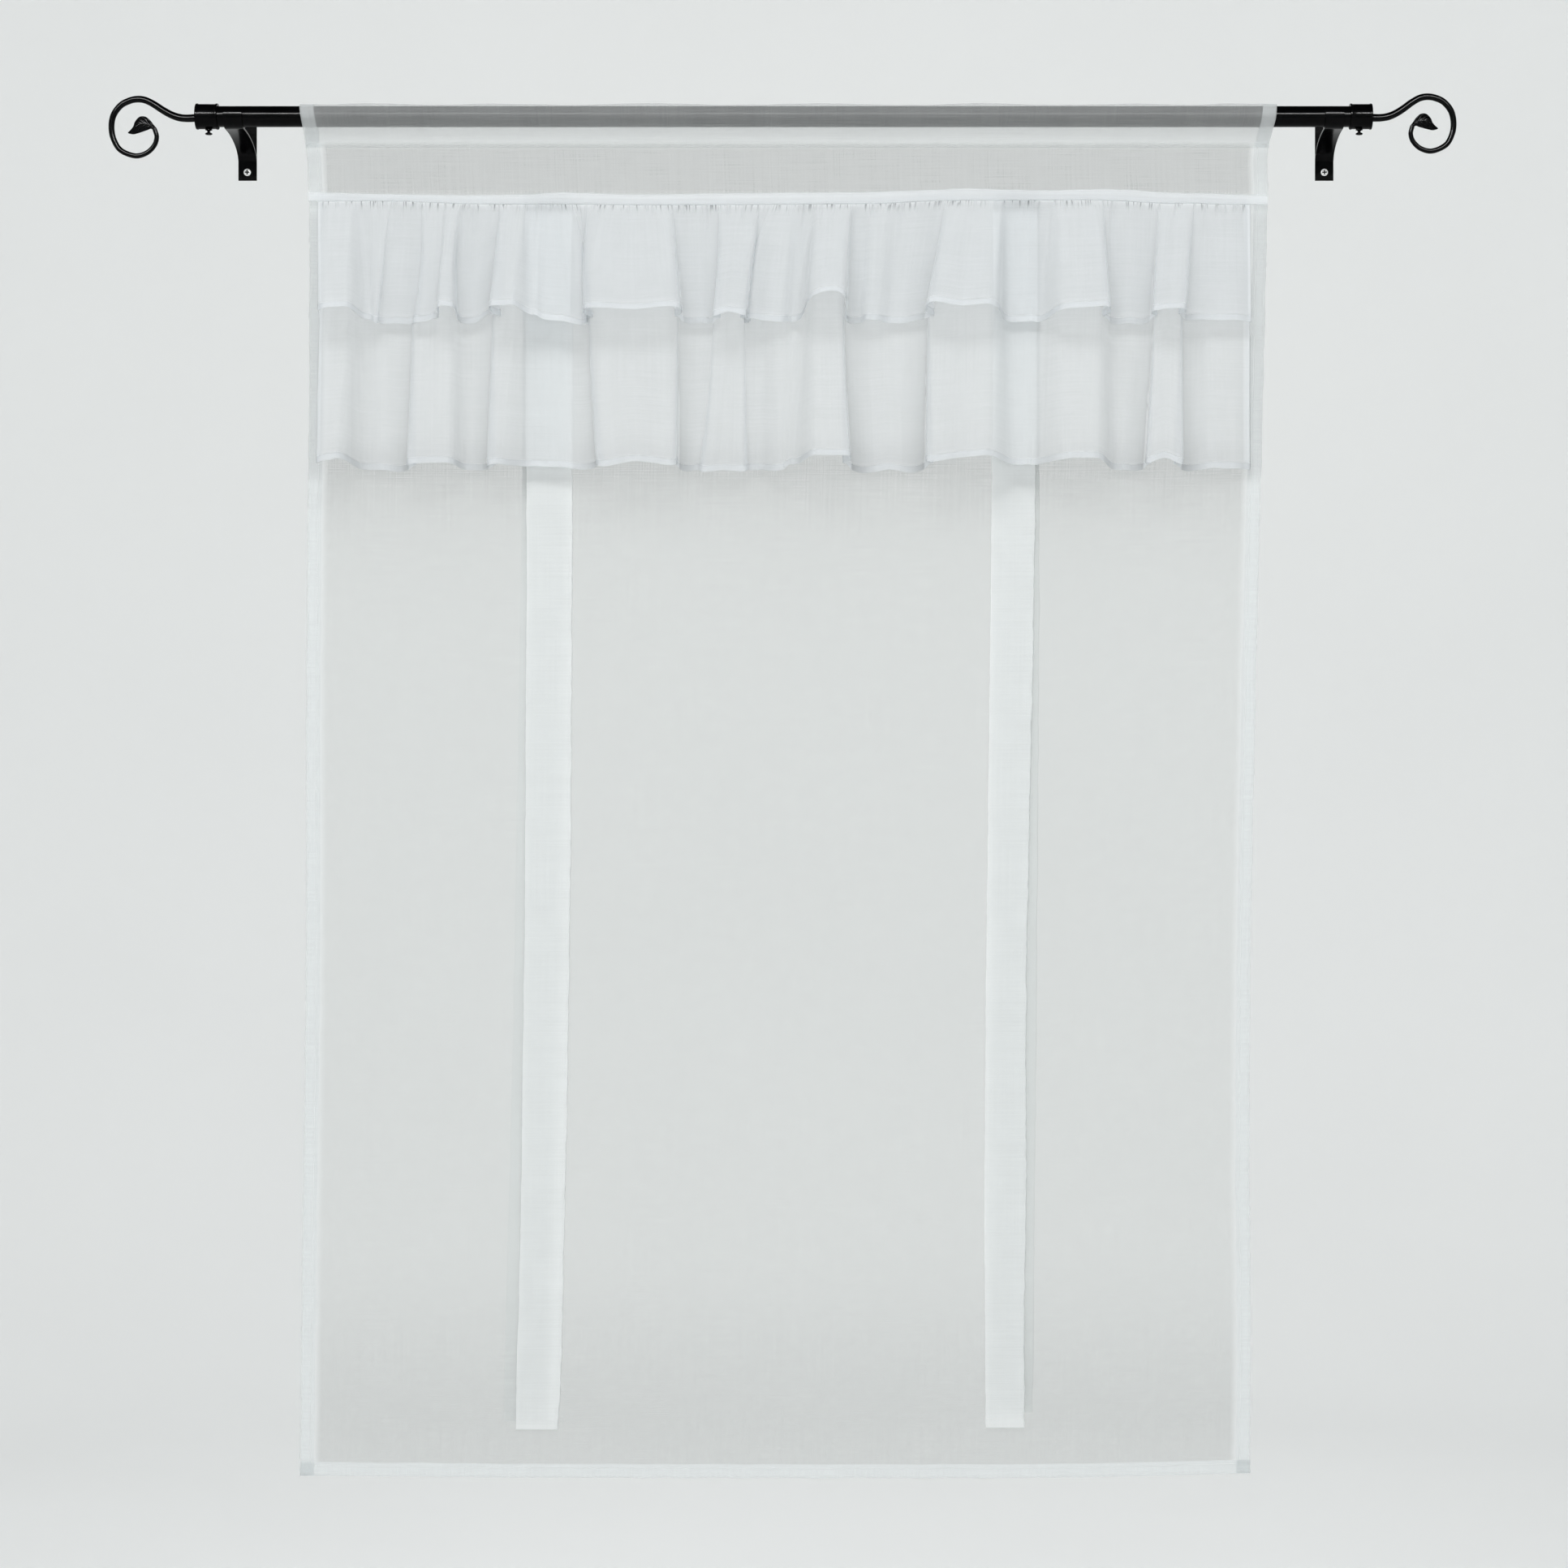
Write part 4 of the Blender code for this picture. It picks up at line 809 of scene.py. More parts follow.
def gather_shape(x_top, below):
    """(puff, crease): how far the gathered cloth swells and how deep its creases lie, in mm."""
    lean = Wander(87)
    crease_and_painted_shade = np.zeros(np.broadcast(x_top, below).shape)
    for place, half_width, depth, length in zip(*GATHERS):
        near = np.abs(x_top - place) < 5.0
        across = (x_top[near] - place - lean(place) * below / 12.0) / (half_width * (1.0 + below / 9.0))
        fade = ease(below / 0.9) * np.exp(-(np.maximum(below - 1.0, 0.0) / length) ** 2)
        crease_and_painted_shade[:, near] = np.maximum(crease_and_painted_shade[:, near], depth * np.exp(-across ** 2) * fade)
    swell = 0.8 + 0.7 * Wander(85)(x_top / 5.5 + 200) + 0.5 * Wander(86)(x_top / 14.0 + 200)
    rounded = ease((below + 0.6) / 1.3) * np.exp(-np.maximum(below - 3.0, 0.0) / 20.0)
    return (1.0 + np.maximum(swell, -0.4)) * rounded, crease_and_painted_shade


def fold_shade(x, standing):
    """Painted shade: how dark a tier is drawn beside the folds that stand out in front of it, from 0 to 1."""
    step = 0.5
    places = np.arange(-500.0, 500.0, step)
    shade = np.zeros(x.shape)
    for row, (row_x, row_out) in enumerate(zip(x, standing)):
        fine = np.arange(0.0, len(row_x) - 1, 0.25)
        fine_x, fine_out = (np.interp(fine, np.arange(len(row_x)), values) for values in (row_x, row_out))
        front = np.full(len(places), -np.inf)
        slot = np.clip(((fine_x - places[0]) / step).round().astype(int), 0, len(places) - 1)
        np.maximum.at(front, slot, fine_out)
        known = np.isfinite(front)
        front = np.interp(places, places[known], front[known])
        close = np.zeros(len(places))
        wide = np.zeros(len(places))
        for shift in range(-50, 51):
            reach = abs(shift) * step
            taller = np.roll(front, shift) - front
            if reach < 8.0:
                close = np.maximum(close, np.clip(taller / 12.0, 0.0, 1.0) * np.exp(-reach / 1.1))
            wide = np.maximum(wide, np.clip(taller / 36.0, 0.0, 1.0) * np.exp(-(reach / 20.0) ** 2))
        dark = 0.17 * close + 0.22 * wide
        in_view = ease((row_out - np.interp(row_x, places, front) + 4.0) / 2.5)
        shade[row] = np.interp(row_x, places, dark) * in_view
    return shade


def build_tier(tier):
    """One tier of the valance: gathered at the seam, then opening into its folds down to a narrow hem."""
    edge_top, edge_foot, bow, beside_top, beside_foot, out, lift = np.array(fold_stations(tier.folds)).T
    foot_line = np.stack([edge_foot + beside_foot, out], -1)
    spans = np.linalg.norm(np.diff(foot_line, axis=0), axis=1)
    top_spans = np.abs(np.diff(edge_top + beside_top))
    counts = [max(4, math.ceil(span / 1.7), math.ceil(top_span / tier.step))
              for span, top_span in zip(spans, top_spans)]

    drop = RUFFLE_TOP_Z - tier.hem_z
    hem_top = drop - RUFFLE_HEM
    rows = list(TIER_ROWS)
    while rows[-1] < hem_top - TIER_ROW_STEP - 1.0:
        rows.append(rows[-1] + TIER_ROW_STEP)
    stitch_row = len(rows) + 1
    below = np.array(rows + [hem_top + down for down, _ in TIER_HEM_ROWS])[:, None]
    behind = np.array([0.0] * len(rows) + [back for _, back in TIER_HEM_ROWS])[:, None]
    down = np.clip(below / drop, 0.0, 1.0)
    opened = curve_value(tier.opening, down)
    under_seam = np.maximum(below, 0.0)

    knot_x = blend(edge_top, edge_foot, down) + blend(beside_top, beside_foot, opened)
    knot_x = knot_x + bow * 4.0 * (down * (1.0 - down))
    x, standing = np.moveaxis(spline_rows(np.stack([knot_x, out * opened], -1), counts), -1, 0)
    foot_out, foot_lift = (spline_rows(np.stack([knot_x[-1:], values[None]], -1), counts)[0, :, 1]
                           for values in (out, lift))
    top_x = x[rows.index(0.0)]
    puff, crease_and_painted_shade = gather_shape(top_x, under_seam)
    seam_share = np.where(below < -0.3, 0.0, 1.0)
    soft = Clouds(81)(top_x / 30.0 + 50, below / 100.0 + 20) * 1.2 * ease(down * 2.2)
    fine = Clouds(82)(top_x / 11.0 + 80, below / 60.0 + 20) * 0.22 * ease(down * 4.0)
    flutter = Wander(83)(top_x / 6.0 + 100) * 0.25 * ease((down - 0.85) * 6.0)
    foot_z = tier.hem_z + RISE_PER_DEPTH * foot_out + foot_lift + 0.5 * Wander(84)(top_x / 14.0 + 100)
    z = blend(curve_value(BAND_FOOT, top_x) - 0.1, foot_z, below / drop)
    sheet = blend(tier.seam_forward, tier.hem_forward, down)
    sheet = sheet - 1.6 * ease(-below / 6.0) - 0.8 * ease(-below / 0.6)
    forward = sheet + standing + seam_share * (puff - crease_and_painted_shade) + soft + fine + flutter
    forward = np.maximum(forward, panel_forward(x, z) + 1.6 * ease(down * 5.0))
    points = at(x, forward, z)
    normals = row_normals(points)
    sewn = points[stitch_row] + normals[stitch_row] * 0.1
    points = points - normals * behind[..., None]

    # Painted shade: darker in the gather creases under the seam and beside and between the folds, weaker near
    # the tier's ends.
    from_end = np.minimum(x - x[:, :1], x[:, -1:] - x)
    open_edge = 1.0 - 0.8 * np.exp(-(from_end / 5.0) ** 2)
    shade = np.clip(0.13 * crease_and_painted_shade * seam_share * np.exp(-under_seam / 5.0)
                    + tier.shade * open_edge * fold_shade(x, standing), 0.0, 1.0)
    # Lighter colour: the hem and the turned-back ends are doubled cloth; the ends drawn lighter still, a band
    # under the seam, slopes that face sideways and the cloth over the front ties are painted light.
    facing = np.abs(normals[..., 1])
    doubled_and_painted_light = np.zeros(shade.shape)
    doubled_and_painted_light[stitch_row - 1:] = 0.45
    doubled_and_painted_light[:, :5] = 0.9
    doubled_and_painted_light[:, -5:] = 0.9
    doubled_and_painted_light = np.maximum(doubled_and_painted_light, 0.9 * seam_share * np.exp(-(under_seam / 3.0) ** 2))
    doubled_and_painted_light = np.maximum(doubled_and_painted_light, 0.8 * ease((0.97 - facing) / 0.5) * seam_share)
    for tie in TIES[:2]:
        left, right = (curve_value(tie.edges, z, column) for column in (1, 2))
        painted_light_over_tie = ease((x - left + 0.7) / 1.4) * ease((right - x + 0.7) / 1.4) * ease((-52.0 - z) / 8.0)
        doubled_and_painted_light = np.maximum(doubled_and_painted_light, 0.8 * painted_light_over_tie)
    # The gathered layer places the painted shade of small dark marks under the seam.
    layers = {"crease_and_painted_shade": shade, "rim": ease((1.0 - facing - 0.55) / 0.35), "doubled_and_painted_light": doubled_and_painted_light,
              "gathered": np.broadcast_to(seam_share * np.exp(-(under_seam / 6.0) ** 2), shade.shape)}
    turned_back = points - normals * 0.45
    points = np.concatenate([turned_back[:, 4:0:-1], points, turned_back[:, -2:-6:-1]], axis=1)
    layers = {key: np.pad(values, ((0, 0), (4, 4)), "edge") for key, values in layers.items()}
    piece = grid_piece(tier.name + "_cloth", points * MM, RUFFLE_VOILE, tier.name, layers)
    sewing = stitches(tier.name + "_stitches", [(sewn * MM, normals[stitch_row])], "ruffle_voile")


def build_band():
    """The seam band: a strip with both edges turned under, sewn flat over the gathered edges."""
    across = np.linspace(*BAND_EDGES, 420)
    top = curve_value(BAND_TOP, across) + 0.25 * Wander(92)(across / 9.0 + 200)
    foot = curve_value(BAND_FOOT, across) + 0.3 * Wander(94)(across / 5.0 + 200)
    puff = Wander(95)(across / 5.0 + 200) * 0.30 + Wander(96)(across / 13.0 + 200) * 0.25
    rows = []
    for share, back in BAND_PROFILE:
        swell = math.sin(math.pi * share)
        wave = puff * (0.5 + 0.5 * (1.0 - swell)) + 0.35 * swell
        rows.append(at(across, BAND_FORWARD - back + wave, blend(top, foot, share)))
    points = np.stack(rows) * MM
    layers = {"doubled_and_painted_light": np.ones(points.shape[:2])}
    piece = grid_piece("seam_band_cloth", points, RUFFLE_VOILE, "seam_band", layers)
    lines = [(at(across, BAND_FORWARD + 0.45 + puff * 0.8, blend(top, foot, share)) * MM, FRONT)
             for share in (0.11, 0.89)]
    sewing = stitches("band_stitches", lines, "ruffle_voile")


def build_tie(tie, seed):
    """A tie: a flat tube of cloth, seamed along one side and hemmed at the foot."""
    top, foot = tie.edges[0][0], tie.edges[-1][0]
    away = 1.0 if tie.seam_offset > 0 else -1.0
    z = np.linspace(top + TIE_TURNING, foot, int((top - foot) / 4.6))[:, None]
    wander, fine, clouds = Wander(seed), Wander(seed + 1), Clouds(seed + 2)
    left = curve_value(tie.edges, z, 1) + 0.35 * wander(z / 31.0 + 200) + 0.18 * fine(z / 6.0 + 400)
    right = curve_value(tie.edges, z, 2) + 0.45 * wander(z / 27.0 + 90) + 0.42 * fine(z / 7.0 + 100)
    half = (0.015, 0.045, 0.1, 0.2, 0.35)
    across = [*half, 0.5, *(1.0 - s for s in reversed(half))]
    front = [(s, 1.0) for s in across]
    back = [(s, -1.0) for s in reversed(across)]
    loop = [(0.0, 0.0), *front, (1.0, 0.0), *back, (0.0, 0.0)]
    share, face = np.array(loop).T
    x = blend(left, right, share)
    cross = clouds(x / 20.0 + 40, z / 9.0 + 300) * 0.22 + clouds(x / 60.0 + 40, z / 34.0 + 90) * 0.5
    seam_side = np.exp(-(1.0 - share) * 48.0 / 7.0)
    free_side = np.exp(-share * 48.0 / 5.0)
    pulls = fine(z / 4.2 + 500) * (0.75 * seam_side + 0.28 * free_side)
    offset = blend(tie.seam_offset, tie.foot_offset, ease(4.0 * (top - z) / (top - foot)))
    gap = np.minimum(share, 1.0 - share) * (right - left)
    thick = 0.36 * np.minimum(1.0, 0.25 + gap / 3.0)
    swing = away * 0.8 * (1.0 + wander(z / 130.0 + 30)) * ease((-360.0 - z) / 300.0)
    forward = panel_forward(x, z) + offset + swing + (cross + pulls) * ease((top - z) / 40.0) + face * thick
    points = at(x, forward, z)
    piece = grid_piece(tie.name + "_cloth", points * MM, TIE, tie.name, {})
    outward = FRONT * away
    hem_row = int(np.argmin(np.abs(z[:, 0] - (foot + 11.0))))
    outer = front if away > 0 else back
    first = loop.index(outer[0])
    lines = [points[2:, loop.index((across[-2], away))], points[hem_row, first:first + len(outer)]]
    lines = [((line + outward * 0.1) * MM, outward) for line in lines]
    sewing = stitches(tie.name + "_stitches", lines, "tie_cloth")


# Metalwork
def spun(points, axis, sides):
    """Turns a line of points round an axis through the origin, with the faces in the same order each run."""
    bm = bmesh.new()
    verts = [bm.verts.new(point) for point in points]
    edges = [bm.edges.new(pair) for pair in zip(verts, verts[1:])]
    bmesh.ops.spin(bm, geom=verts + edges, cent=(0, 0, 0), axis=axis, angle=2 * math.pi, steps=sides,
                   use_merge=True)
    bmesh.ops.remove_doubles(bm, verts=bm.verts, dist=1e-6)
    bm.verts.index_update()
    base = len(bm.verts) + 1

    def face_number(face):
        number = 0
        for index in sorted(vert.index for vert in face.verts):
            number = number * base + index + 1
        return number

    bm.faces.sort(key=face_number)
    return bm


def metal_piece(name, bm, look, replaced, smooth):
    """A piece from a bmesh, with edges sharper than so many degrees left sharp."""
    bmesh.ops.recalc_face_normals(bm, faces=bm.faces)
    mesh = bpy.data.meshes.new(name)
    bm.to_mesh(mesh)
    bm.free()
    mesh.shade_smooth()
    mesh.set_sharp_from_angle(angle=math.radians(smooth))
    return add_piece(name, mesh, look, replaced)


def turned(name, profile, sides, place, replaced, smooth):
    """A black piece: a profile of (along, radius) points turned round the X axis and placed with a matrix."""
    bm = spun([(along, 0.0, radius) for along, radius in profile], (1, 0, 0), sides)
    bmesh.ops.transform(bm, matrix=place, verts=bm.verts)
    metal_piece(name, bm, BLACK, replaced, smooth)


def even_turns(count):
    return [2 * math.pi * k / count for k in range(count)]


def join_rings(bm, near, far):
    count = len(near)
    for k in range(count):
        after = (k + 1) % count
        bm.faces.new([near[k], near[after], far[after], far[k]])


def loft(name, rings, look, replaced, smooth):
    """A piece through rings of points, closed at both ends."""
    bm = bmesh.new()
    rings = [[bm.verts.new(point) for point in ring] for ring in rings]
    for near, far in zip(rings, rings[1:]):
        join_rings(bm, near, far)
    bm.faces.new(rings[0])
    bm.faces.new(rings[-1][::-1])
    return metal_piece(name, bm, look, replaced, smooth)


def rod_matrix(sign):
    place = Matrix.Translation((0.0, -ROD_DEPTH, ROD_HEIGHT))
    return place if sign > 0 else place @ Matrix.Rotation(math.pi, 4, "Z")


def build_rod():
    """The tube, with eased ends and its bore."""
    end = ROD_HALF_LENGTH
    inner = ROD_RADIUS - ROD_WALL
    round_off = 0.0003
    half = [(end - 0.004, inner - 0.0001), (end, inner), (end, ROD_RADIUS - round_off),
            (end - round_off, ROD_RADIUS)]
    profile = [(-along, radius) for along, radius in half]
    profile += [(blend(-end + 0.002, end - 0.002, i / 40), ROD_RADIUS) for i in range(41)]
    turned("tension_rod", profile + half[::-1], 96, rod_matrix(1), "rod", smooth=40)


def build_cap(side, sign):
    bore = ROD_RADIUS + GAP
    inner, outer = CAP_INNER_END, CAP_OUTER_END
    half = CAP_BEAD_WIDTH / 2
    rise = CAP_BEAD_RADIUS - CAP_RADIUS
    bead = [(half * math.cos(turn), CAP_RADIUS + rise * math.sin(turn) ** 0.7)
            for turn in (math.pi * i / 12 for i in range(13))]
    profile = [(outer - 0.002, 0.0), (outer - 0.002, bore), (inner, bore), (inner, CAP_RADIUS - 0.0002)]
    profile += [(inner + half - along, radius) for along, radius in bead]
    profile += [(along, CAP_RADIUS - 0.00012) for along in (inner + CAP_BEAD_WIDTH + 0.0004,
                                                            outer - CAP_BEAD_WIDTH - 0.0004)]
    profile += [(outer - half - along, radius) for along, radius in bead]
    profile += [(outer, CAP_RADIUS - 0.0004), (outer, SCROLL_START_RADIUS + 0.0008), (outer, 0.0)]
    turned(f"cap_{side}", profile, 96, rod_matrix(sign), f"finial_cap_{side}", smooth=32)


def build_thumbscrew(side, sign):
    under = CAP_RADIUS + GAP
    profile = [(ROD_RADIUS + GAP, 0.0), (ROD_RADIUS + GAP, 0.0013)]
    profile += [(under + down * MM, radius * MM) for down, radius in THUMBSCREW_PROFILE]
    place = Matrix.Translation((sign * THUMBSCREW_X, -ROD_DEPTH, ROD_HEIGHT))
    place = place @ Matrix.Rotation(math.pi / 2, 4, "Y")
    turned(f"thumb_{side}", profile, 40, place, f"thumbscrew_{side}", smooth=50)


def finial_point(side, sign, outward, up, forward=0.0):
    """A point of a finial, given in its own plane in millimetres from the middle of the cap's end."""
    tilt = math.radians(SCROLL_TILT_DEG[side])
    outward = outward * SCROLL_SIZE[side]
    up = up * SCROLL_SIZE[side]
    turned_out = outward * math.cos(tilt) - up * math.sin(tilt)
    turned_up = outward * math.sin(tilt) + up * math.cos(tilt)
    across = sign * (CAP_OUTER_END + turned_out * MM)
    return Vector((across, -ROD_DEPTH - forward * MM, ROD_HEIGHT + turned_up * MM))


def smooth_line(points, count):
    """Reads a smooth curve through the points at even steps."""
    dense = []
    padded = [points[0] * 2 - points[1], *points, points[-1] * 2 - points[-2]]
    for before, start, end, after in zip(padded, padded[1:], padded[2:], padded[3:]):
        square = 2 * before - 5 * start + 4 * end - after
        cubic = 3 * start - before - 3 * end + after
        for t in np.arange(24) / 24:
            dense.append(0.5 * (2 * start + (end - before) * t + square * t ** 2 + cubic * t ** 3))
    line = np.array([*dense, points[-1]])
    lengths = line_lengths(line)
    return read_line(lengths, line, np.linspace(0.0, lengths[-1], count))


def build_scroll(side, sign):
    """The scroll: a tapering forged bar that leaves the middle of the cap's end."""
    route = smooth_line([finial_point(side, sign, outward, up) for outward, up in SCROLL_LINE], 240)
    along = np.gradient(route, axis=0)
    along /= np.linalg.norm(along, axis=1, keepdims=True)
    aside = np.cross(along, FRONT)
    shares = np.linspace(0.0, 1.0, len(route))
    radius = blend(SCROLL_START_RADIUS, SCROLL_END_RADIUS, shares)
    radius = radius * (1.0 + 0.012 * Wander(101)(shares * 46.0 + 10))
    rings = [[centre + size * (math.cos(turn) * across + math.sin(turn) * FRONT)
              for turn in even_turns(SCROLL_SIDES)] for centre, size, across in zip(route, radius, aside)]
    loft(f"scroll_bar_{side}", rings, BAR_BLACK, f"scroll_{side}", smooth=50)


def build_leaf(side, sign):
    """The leaf: a swelling blade with a midrib, a rolled edge and raised veins on both faces."""
    sections = [(k, *upper, *lower, half) for k, (upper, lower, half) in enumerate(LEAF_SECTIONS)]
    places = np.linspace(0.0, len(sections) - 1.0, 61)
    smooth = np.stack([curve_value(sections, places, column) for column in range(1, 6)], -1)
    half_ring = np.linspace(0.0, 1.0, 25)
    loop = [(s, 1.0) for s in half_ring] + [(s, -1.0) for s in half_ring[-2:0:-1]]
    rings = []
    for i, (upper_out, upper_up, lower_out, lower_up, half) in enumerate(smooth):
        share = i / (len(smooth) - 1)
        swell = math.sin(math.pi * share) ** 0.5
        ring = []
        for s, face in loop:
            from_rib = abs(s - 0.5) * 2.0
            body = 0.30 + (half - 0.30) * (1.0 - from_rib ** 1.6)
            vein = max(0.0, math.sin((share * 7.5 - from_rib * 1.9) * 2 * math.pi)) ** 2
            vein = vein * 0.95 * math.sin(math.pi * min(1.0, from_rib * 1.1)) * swell
            rib = 0.35 * math.exp(-(from_rib / 0.09) ** 2) * swell
            roll = 0.30 * math.exp(-((from_rib - 0.93) / 0.07) ** 2)
            forward = face * (body + vein + rib + roll) if 0.001 < s < 0.999 else 0.0
            outward, up = blend(upper_out, lower_out, s), blend(upper_up, lower_up, s)
            ring.append(finial_point(side, sign, outward, up, forward))
        rings.append(ring)
    loft(f"leaf_blade_{side}", rings, LEAF_BLACK, f"leaf_{side}", smooth=60)


def bracket_outline():
    """The bracket's side view as (forward, up) points: plate, arm and cradle in one outline."""
    inner = ROD_RADIUS + GAP
    outer = inner + STRAP_THICKNESS
    half = STRAP_THICKNESS / 2
    arm_reach = ROD_DEPTH - STRAP_THICKNESS
    arm_rise = ROD_HEIGHT - inner - half - ARM_ROOT_HEIGHT

    def arm_point(turn, offset):
        forward = ROD_DEPTH - arm_reach * math.cos(turn)
        up = ARM_ROOT_HEIGHT + arm_rise * math.sin(turn)
        slope = Vector((arm_reach * math.sin(turn), arm_rise * math.cos(turn))).normalized()
        return forward - slope.y * offset, up + slope.x * offset

    def cradle(start, end, radius, steps, first=0):
        turns = [blend(start, end, i / steps) for i in range(first, steps + 1)]
        return [(ROD_DEPTH + radius * math.sin(turn), ROD_HEIGHT - radius * math.cos(turn)) for turn in turns]

    lip_outer, lip_inner = (math.pi / 2 + math.asin(CRADLE_LIP_RISE / radius) for radius in (outer, inner))
    outline = [(0.0, PLATE_BOTTOM), (STRAP_THICKNESS, PLATE_BOTTOM), (STRAP_THICKNESS, ARM_ROOT_HEIGHT)]
    outline += [arm_point(blend(ARM_UNDERSIDE_ROOT, math.pi / 2, (i / 26) ** 1.2), -half) for i in range(27)]
    outline += cradle(0.0, lip_outer, outer, 18, 1)
    outline += cradle(lip_inner, -lip_inner, inner, 40)
    outline += cradle(-lip_outer, -CRADLE_BACK_MEETS_ARM, outer, 12)
    outline += [arm_point(blend(ARM_TOP_END, ARM_TOP_ROOT, i / 20), half) for i in range(21)]
    outline += [(STRAP_THICKNESS, up) for up in (ARM_ROOT_HEIGHT + ARM_FILLET, PLATE_TOP)]
    return outline + [(0.0, PLATE_TOP)]


def build_bracket(side, sign):
    """The bracket: one steel strap with eased edges, from its plate round the arm to the cradle."""
    sides = (sign * BRACKET_X - STRAP_WIDTH / 2, sign * BRACKET_X + STRAP_WIDTH / 2)
    rings = [[(x, -forward, up) for forward, up in bracket_outline()] for x in sides]
    bracket = loft(f"bracket_strap_{side}", rings, BLACK, f"bracket_{side}", smooth=30)
    bevel = bracket.modifiers.new("eased", "BEVEL")
    bevel.width = 0.00035
    bevel.segments = 3
    bevel.limit_method = "ANGLE"
    bevel.angle_limit = math.radians(50)
    bevel.harden_normals = True


def build_screw(side, sign):
    """A cross-head screw with a domed head; its recess is sunk by moving the head's own points."""
    seat = STRAP_THICKNESS + GAP
    head = SCREW_HEAD_RADIUS
    steps = 56
    middle_x = sign * BRACKET_X
    bm = bmesh.new()
    grid = []
    for i in range(steps + 1):
        row = []
        for j in range(steps + 1):
            a, b = (blend(-1.0, 1.0, k / steps) for k in (i, j))
            x = a * math.sqrt(1.0 - b * b / 2.0) * head
            z = b * math.sqrt(1.0 - a * a / 2.0) * head
            radius = min(math.hypot(x, z) / head, 1.0)
            dome = 0.40 + 0.60 * math.sqrt(max(0.0, 1.0 - (radius * 0.97) ** 2))
            short_arm, long_arm = sorted((abs(x), abs(z)))
            wall = min((RECESS_HALF_WIDTH - short_arm) / 0.00016, (RECESS_ARM - long_arm) / 0.0003)
            sunk = RECESS_DEPTH * float(ease(wall + 0.5))
            row.append(bm.verts.new((middle_x + x, -(seat + SCREW_HEAD_HEIGHT * dome - sunk), z)))
        grid.append(row)
    for near, far in zip(grid, grid[1:]):
        for j in range(steps):
            bm.faces.new([near[j], far[j], far[j + 1], near[j + 1]])
    rim = [row[0] for row in grid[:-1]] + grid[-1][:-1]
    rim += [row[-1] for row in grid[:0:-1]] + grid[0][:0:-1]
    seat_ring = [bm.verts.new((vert.co.x, -seat, vert.co.z)) for vert in rim]
    join_rings(bm, rim, seat_ring)
    bm.faces.new(seat_ring)
    shank = [[bm.verts.new((middle_x + SCREW_SHANK_RADIUS * math.cos(turn), y,
                            SCREW_SHANK_RADIUS * math.sin(turn))) for turn in even_turns(32)]
             for y in (-seat, 0.00004)]
    join_rings(bm, *shank)
    bm.faces.new(shank[1])
    # Painted shade: the faces inside the cross recess take the black coat, so the recess looks dark.
    bottom = seat + SCREW_HEAD_HEIGHT - 0.25 * RECESS_DEPTH
    for face in bm.faces:
        middle = face.calc_center_median()
        reach = math.hypot(middle.x - middle_x, middle.z)
        if reach < RECESS_ARM * 1.1 and -bottom < middle.y < -seat - 0.00001:
            face.material_index = 1
    screw = metal_piece(f"wall_screw_{side}", bm, NICKEL, f"screw_{side}", smooth=40)
    screw.data.materials.append(BLACK[0])


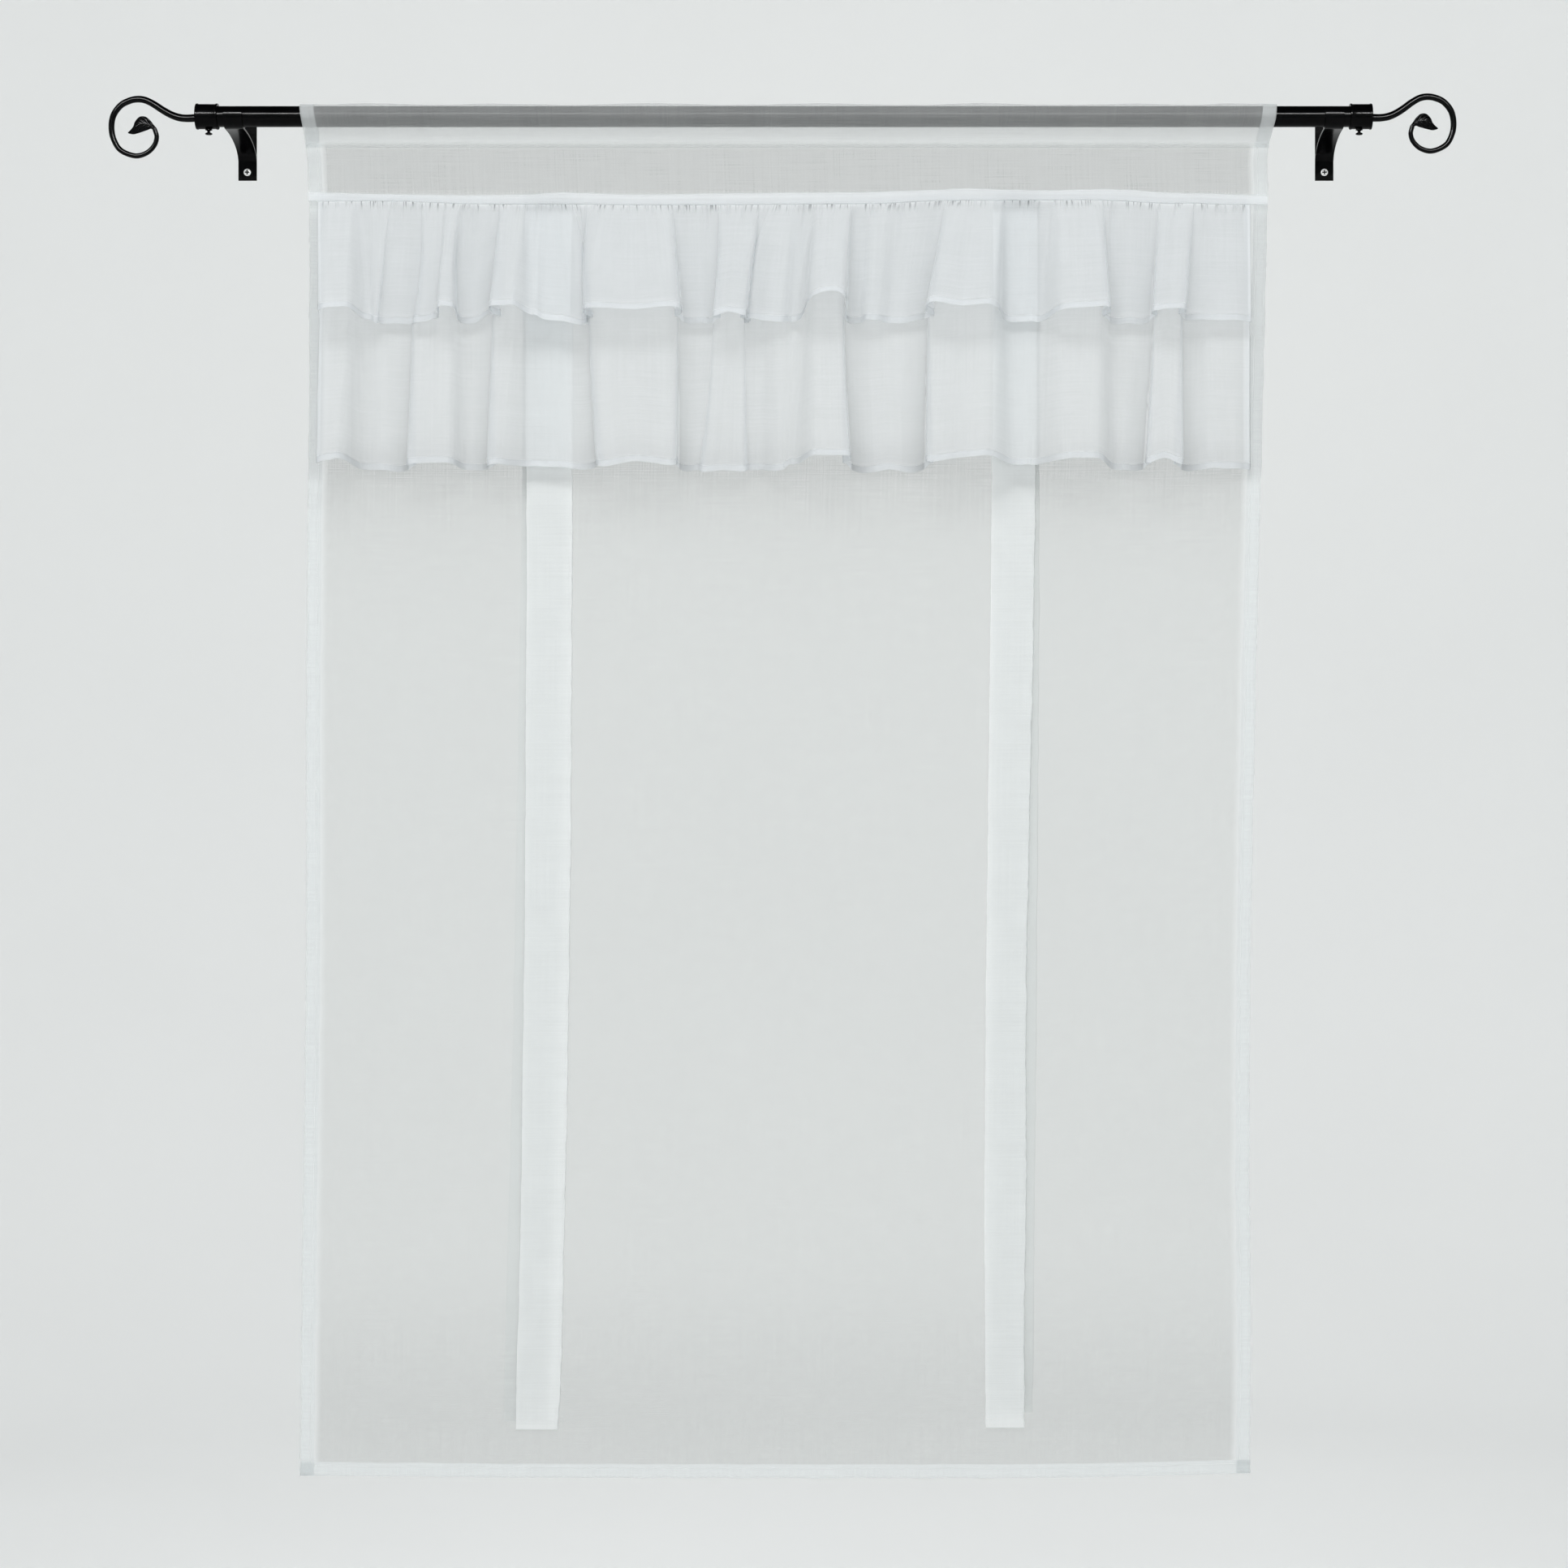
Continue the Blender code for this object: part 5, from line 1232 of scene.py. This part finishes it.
# Stage, light and camera
def build_stage():
    """A pale floor that curves up all round, like a studio cove."""
    nodes = Nodes("cove")
    pale = nodes.colours(nodes.noise(nodes.place(), 1.2, 2.0), (0.80, 0.81, 0.805), (0.83, 0.84, 0.835))
    material = nodes.coated(Base_Color=pale, Roughness=0.95, Specular_IOR_Level=0.1)
    floor, reach, corner, height = -2.3, 7.6, 2.2, 6.5
    profile = [(0.0, floor), (2.0, floor), (4.0, floor), (reach - corner, floor)]
    for i in range(1, 17):
        turn = math.pi / 2 * i / 16
        profile.append((reach - corner + corner * math.sin(turn), floor + corner - corner * math.cos(turn)))
    profile.append((reach, height))
    bm = spun([(radius, 0.0, z) for radius, z in profile], (0, 0, 1), 96)
    mesh = bpy.data.meshes.new("studio_cove")
    bm.to_mesh(mesh)
    bm.free()
    mesh.shade_smooth()
    mesh.materials.append(material)
    add_object("studio_cove", mesh)


def softbox(name, place, target, size, power, mirrored=False):
    """An oblong light. A mirrored one shows only as a highlight, and the others light the scene unseen."""
    light = bpy.data.lights.new(name, "AREA")
    light.shape = "RECTANGLE"
    light.size, light.size_y = size
    light.energy = power
    item = add_object(name, light)
    item.location = place
    item.rotation_euler = (Vector(target) - Vector(place)).to_track_quat("-Z", "Y").to_euler()
    item.visible_camera = False
    item.visible_glossy = mirrored
    item.visible_diffuse = not mirrored


def build_lights():
    middle = (0.0, 0.0, -0.5)
    softbox("key", (-0.3, -3.6, 3.9), middle, (4.0, 1.6), 195.0)
    softbox("strip", (-0.3, -4.0, 1.75), (0.0, 0.0, -0.1), (4.8, 0.13), 560.0, mirrored=True)
    softbox("fill", (0.5, -5.0, -0.4), middle, (3.6, 2.6), 46.0)
    softbox("wall_wash", (0.0, 1.6, 2.6), (0.0, 7.0, -0.6), (3.0, 1.2), 95.0)
    world = bpy.data.worlds.new("studio")
    world.use_nodes = True
    background = world.node_tree.nodes["Background"].inputs
    background["Color"].default_value = (0.97, 0.985, 1.0, 1.0)
    background["Strength"].default_value = 0.52
    world.cycles_visibility.glossy = False
    bpy.context.scene.world = world


def build_camera():
    camera = bpy.data.cameras.new("camera")
    camera.sensor_width = 36.0
    camera.lens = 81.72
    camera.shift_x = -0.0593
    item = add_object("camera", camera)
    item.location = (0.098, -3.83, -0.6576)
    item.rotation_euler = (math.pi / 2, 0.0, 0.0)
    bpy.context.scene.camera = item


def build():
    build_camera()
    build_stage()
    build_lights()
    build_rod()
    for side, sign in (("left", -1), ("right", 1)):
        for build_one in (build_cap, build_thumbscrew, build_scroll, build_leaf, build_bracket, build_screw):
            build_one(side, sign)
    build_panel()
    build_band()
    for tier in TIERS:
        build_tier(tier)
    for number, tie in enumerate(TIES):
        build_tie(tie, 200 + 10 * number)
    scene = bpy.context.scene
    scene.view_settings.view_transform = "Standard"
    scene.cycles.transparent_max_bounces = 40
    scene.cycles.use_denoising = True


build()
